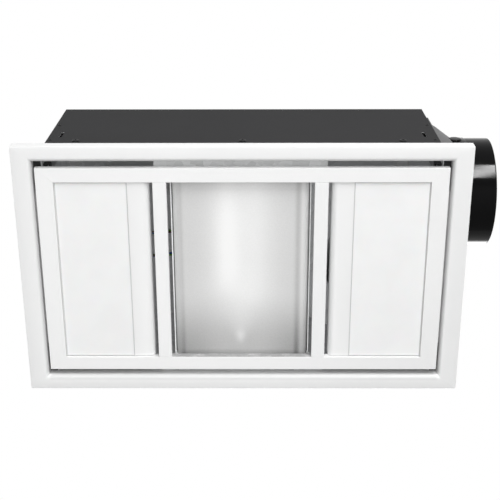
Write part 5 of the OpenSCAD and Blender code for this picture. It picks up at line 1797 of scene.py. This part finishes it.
@dataclass
class WiringCompartment:
    """Terminal box, gland, capacitor, light driver and the wires between them."""

    case_x: float = 264.0
    hatch_y: float = 24.0
    hatch_z: float = 139.0
    lid_t: float = 2.0
    lid_field: Point = (34.0, 20.0, 4.0)
    lid_screw: float = 41.0
    gland_y: float = 82.0
    gland_z: float = 139.0
    clamp_place: Point = (-249.8, -1.0, 124.6)
    clamp_step: float = 10.0
    capacitor_place: Point = (81.0, 20.0, 136.0)
    driver_place: Point = (-140.0, -69.0, 179.8)
    wire_lift: float = 202.5
    wire_r: float = 1.35
    twist_r: float = 1.5
    twist: float = 9.0
    tie_step: int = 14

    def gland(self) -> None:
        """The gland: threaded body, two nuts and a ribbed dome."""
        y, z = self.gland_y, self.gland_z
        body = [(5.0, 9.2), (7.6, 9.2)]
        for i in range(7):
            body += [(8.0, 8.6 - i), (7.5, 8.1 - i)]
        body += [(8.0, 0.0), (8.0, -15.0), (6.6, -16.0), (5.0, -16.0)]
        piece = Solid().lathe(body, Axis.X, (-self.case_x, y, z), 48)
        for low, high, size in ((1.2, 5.7, 12.0), (-5.0, 0.0, 12.0), (-15.0, -6.5, 11.0)):
            hexagon, hole = (arc(y, z, r, 0, 300, 5) for r in (size, 7.4))
            rings = ((low, hexagon), (high, hexagon), (high, hole), (low, hole))
            piece.loft([[(x - self.case_x, a, b) for a, b in ring] for x, ring in rings], wrap=True)
        piece.place("cable_gland_made", BLACK_PLASTIC, ["cable_gland"], "black_plastic", 0.4, 40)
        rib = Solid().block((-0.5, -0.7, 0.0), (0.35, 0.7, 6.4)).object("gland_ribs")
        centre = (-self.case_x - 7.4, y, z)
        ribs = ring_tree().run(rib, BLACK_PLASTIC, centre, (0, -90, 0), Count=24, Radius=9.9 * MM)
        finished(ribs, BLACK_PLASTIC, ["cable_gland"])

    def lid(self) -> None:
        """The lid with its pressed field and two screws."""
        refined("terminal_lid", GREY_LID, 0.5)
        x, y, z = -self.case_x - self.lid_t, self.hatch_y, self.hatch_z
        half_y, half_z, r = self.lid_field
        loops = []
        for rise, inset in ((0.0, 0.0), (0.7, 0.0), (1.3, 0.8)):
            loop = rounded_loop(half_y - inset, half_z - inset, r - inset, 0)
            loops.append([(x + 0.3 - rise, y + a, z + b) for a, b, _ in loop])
        Solid().loft(loops).place("lid_field", GREY_LID, ["terminal_lid"])
        screw = Screw(3.4, 1.5, 1.6, 2.6).build("lid_screws")
        spots = [((x, y + sy * self.lid_screw, z), (0.0, -90.0, 30.0 * sy)) for sy in (-1, 1)]
        at_places(screw, spots, BLACK_SCREW, ["terminal_lid"])

    def terminals(self) -> None:
        """The row of clamps with its brass screws, and the earth stud."""
        refined("terminal_block", WHITE_PLASTIC, 0.4)
        screw = Screw(2.0, 0.8, 1.4, 3.0, Recess.SLOT).build("clamp_screws")
        x, y, z = self.clamp_place
        at_places(screw, [((x, y + self.clamp_step * i, z), (0.0, 0.0, 40.0 * i)) for i in range(6)], BRASS)
        refined("earth_stud", BRASS, 0.3)
        refined("terminal_box", BLACK_PLASTIC, 0.6)

    def capacitor(self) -> None:
        """The motor's capacitor: a can with a crimped lid and two tabs."""
        x, y, z = self.capacitor_place
        line = [(0, 0), (15.0, 0), *arc(15.0, 1.0, 1.0, 270, 360, 3), (16.0, 46.5), (15.2, 47.2)]
        line += [(15.2, 48.0), *arc(15.4, 49.2, 0.6, 0, 90, 3), (14.0, 50.0), (13.4, 49.0), (13.0, 49.2)]
        line += [(12.4, 53.4), (11.6, 54.0), (0, 54.0)]
        can = Solid().lathe(line, centre=(x, y, z), steps=56)
        can.place("capacitor_can", PALE_CASE, ["capacitor"], "white_plastic")
        tab = [(-3, 53.5), (3, 53.5), (3, 59.6), (1.8, 61), (-1.8, 61), (-3, 59.6)]
        tabs = Solid()
        for middle in (x - 5, x + 5):
            tabs.prism([(y + a, z + b) for a, b in tab], Axis.X, middle - 0.4, middle + 0.4)
        tabs.place("capacitor_tabs", ZINC_PLATED, ["capacitor"], width=0.15)

    def driver(self) -> None:
        """The light driver under the lid, with a ribbed underside."""
        refined("light_driver", PALE_CASE, 0.8, 3)
        rib = Solid().block((-52.0, -0.7, -0.6), (52.0, 0.7, 0.4)).object("driver_ribs")
        ribs = row_tree().run(rib, PALE_CASE, self.driver_place, Across=1, Along=7, StepX=0.0, StepY=5 * MM)
        finished(soften(ribs, 0.15), PALE_CASE, ["light_driver"])

    def routes(self) -> list[list[Vector]]:
        """The wires' paths in steps of about 3 mm: box to motor, down to the driver, and to the heat box."""
        up = self.wire_lift
        motor = [(-232.8, 32, 139), (-206.8, 32, 139), (-180, 32, up), (0, 12, up), (108.7, 12, up)]
        motor += [(108.7, 12, 164), (126.7, 12, 164)]
        driver = [(-180, 31, up), (-180, 0, up), (-180, -47.7, up)]
        heater = [(-206.8, 32, 139), (-120, 20, 92), (-52.1, 0, 78), (-52.1, 0, 62.3)]
        fine = []
        for path in (softened(route, 9.0, 7) for route in (motor, driver, heater)):
            line = []
            for a, b in zip(path, path[1:]):
                spans = max(1, int((b - a).length / 3.0))
                line += [a.lerp(b, i / spans) for i in range(spans)]
            fine.append([*line, path[-1]])
        return fine

    def loom(self) -> None:
        """Three twisted wires along each run, gathered by ties."""
        looks = ((BROWN_WIRE, "brown"), (BLUE_WIRE, "blue"), (GREEN_WIRE, "earth"))
        wires, ties = [Solid() for _ in looks], Solid()
        for path in self.routes():
            gaps = [(b - a).length for a, b in zip(path, path[1:])]
            runs = list(itertools.accumulate(gaps, initial=0.0))
            for k, wire in enumerate(wires):
                line = []
                for spot, (side, over), run in zip(path, carried_frames(path), runs):
                    t = run / self.twist + k * 2 * math.pi / 3
                    line.append(spot + (side * math.cos(t) + over * math.sin(t)) * self.twist_r)
                wire.tube(line, self.wire_r, 8)
            for i in range(self.tie_step, len(path), self.tie_step):
                ahead = (path[min(i + 1, len(path) - 1)] - path[i - 1]).normalized() * 0.9
                ties.tube([path[i] - ahead, path[i] + ahead], 3.0, 20)
        for wire, (finish, word) in zip(wires, looks):
            wire.place("loom_" + word, finish, ["wiring_loom"], "black_plastic", angle=50)
        ties.place("loom_ties", BLACK_PLASTIC, ["wiring_loom"], width=0.25)

    def build(self) -> None:
        """Makes and places every piece of the wiring."""
        self.gland()
        self.lid()
        self.terminals()
        self.capacitor()
        self.driver()
        self.loom()


# Studio


@dataclass(frozen=True)
class Softbox:
    """A soft rectangular lamp, with a grid on it where its spread is narrow."""

    name: str
    place: Point
    aim: Point
    width: float
    height: float
    power: float
    spread: float = 180.0

    def build(self) -> None:
        """Adds the lamp to the scene."""
        data = bpy.data.lights.new(self.name, "AREA")
        data.shape = "RECTANGLE"
        data.size, data.size_y = self.width, self.height
        data.energy = self.power
        data.spread = math.radians(self.spread)
        lamp = linked(self.name, data)
        lamp.location = self.place
        lamp.rotation_mode = "QUATERNION"
        lamp.rotation_quaternion = (Vector(self.aim) - Vector(self.place)).to_track_quat("-Z", "Y")


@dataclass
class Studio:
    """Pale floor, soft light, white background and the photograph's camera."""

    floor_z: float = -2.4
    floor_half: float = 9.0
    floor_glow: float = 0.45
    light: float = 0.16
    lens: float = 74.9
    place: Point = (0.01809, -0.56816, -1.30064)
    pitch: float = 67.426
    roll: float = 0.786
    yaw: float = -0.859
    lamps: tuple[Softbox, ...] = (
        Softbox("front_box", (0.0, -2.65, -0.15), (0.0, 0.0, 0.0), 1.5, 0.7, 16.3),
        Softbox("mid_box", (-0.1, -1.65, -1.9), (0.0, 0.0, 0.0), 1.0, 0.5, 7.2),
        Softbox("low_box", (-0.1, -0.85, -2.1), (0.0, 0.0, 0.0), 1.0, 0.7, 10.4),
        Softbox("strip_box", (0.865, -2.31, -1.11), (0.32, -0.08, 0.09), 0.13, 1.3, 48.0),
        Softbox("far_box", (-0.4, 1.1, -2.1), (0.0, 0.0, 0.0), 1.4, 0.9, 11.2),
        Softbox("back_box", (0.2, 2.2, 2.2), (0.0, 0.0, 0.1), 1.8, 1.8, 6.5, 60.0),
        Softbox("left_box", (-2.6, 0.5, 0.8), (0.0, 0.0, 0.1), 1.2, 1.2, 2.8, 60.0),
        Softbox("right_box", (2.6, 0.9, 0.9), (0.0, 0.0, 0.1), 1.2, 1.2, 2.4, 60.0),
    )

    def white_ray(self, graph: Graph) -> Tap:
        """1 for rays that show the background, else 0."""
        path = graph.node("ShaderNodeLightPath")
        kinds = ("Camera", "Glossy", "Transmission")
        camera, glossy, clear = (Tap(graph, path.outputs[f"Is {kind} Ray"]) for kind in kinds)
        return camera.most(glossy).most(clear)

    def world(self) -> None:
        """Soft light from all round, and white where the background shows."""
        world = bpy.data.worlds.new("studio_world")
        world.use_nodes = True
        bpy.context.scene.world = world
        graph = Graph(world.node_tree)
        background = world.node_tree.nodes["Background"]
        graph.fill(background, "Color", (1.0, 1.0, 1.0, 1.0))
        graph.fill(background, "Strength", self.light + self.white_ray(graph) * (1.0 - self.light))

    def floor(self) -> None:
        """The plain pale floor, far below the ceiling."""
        data = bpy.data.meshes.new("studio_floor")
        half = self.floor_half
        corners = [(sx * half, sy * half, self.floor_z) for sx, sy in CORNERS]
        data.from_pydata(corners, [], [(0, 2, 3, 1)])
        floor = linked("studio_floor", data)
        desk = Desk("studio_floor")
        shown = desk.mix(self.white_ray(desk), BLACK, (self.floor_glow,) * 3)
        pale = desk.mix(desk.noise(3.0, 3.0), (0.84, 0.84, 0.84), (0.86, 0.86, 0.86))
        desk.wear(Base_Color=pale, Roughness=0.9, Emission_Color=shown, Emission_Strength=1.0)
        floor.data.materials.append(desk.material)

    def camera(self) -> None:
        """The camera where the photograph was taken from."""
        pitch, yaw, roll = (math.radians(a) for a in (self.pitch, self.yaw, self.roll))
        ahead = Vector((math.sin(yaw) * math.cos(pitch), math.cos(yaw) * math.cos(pitch), math.sin(pitch)))
        right = Vector((math.cos(yaw), -math.sin(yaw), 0.0))
        up = right.cross(ahead)
        tilted = right * math.cos(roll) + up * math.sin(roll)
        over = up * math.cos(roll) - right * math.sin(roll)
        turn = Matrix((tilted, over, -ahead)).transposed()
        data = bpy.data.cameras.new("camera")
        data.lens, data.sensor_width = self.lens, 36.0
        data.clip_start, data.clip_end = 0.05, 40.0
        camera = linked("camera", data)
        camera.matrix_world = Matrix.Translation(self.place) @ turn.to_4x4()
        bpy.context.scene.camera = camera

    def build(self) -> None:
        """Sets up the studio."""
        bpy.context.scene.view_settings.view_transform = "Standard"
        self.world()
        self.floor()
        for lamp in self.lamps:
            lamp.build()
        self.camera()


def main() -> None:
    """Builds the studio and every sub-assembly in order."""
    logging.basicConfig(level=logging.INFO, format="%(message)s")
    Studio().build()
    parts = (TrimFrame, FloatingCover, Casing, HeatModule, LightPanels, Blower, DuctOutlet, WiringCompartment)
    for part in parts:
        part().build()
        log.info("%s done", part.__name__)


if __name__ == "__main__":
    main()
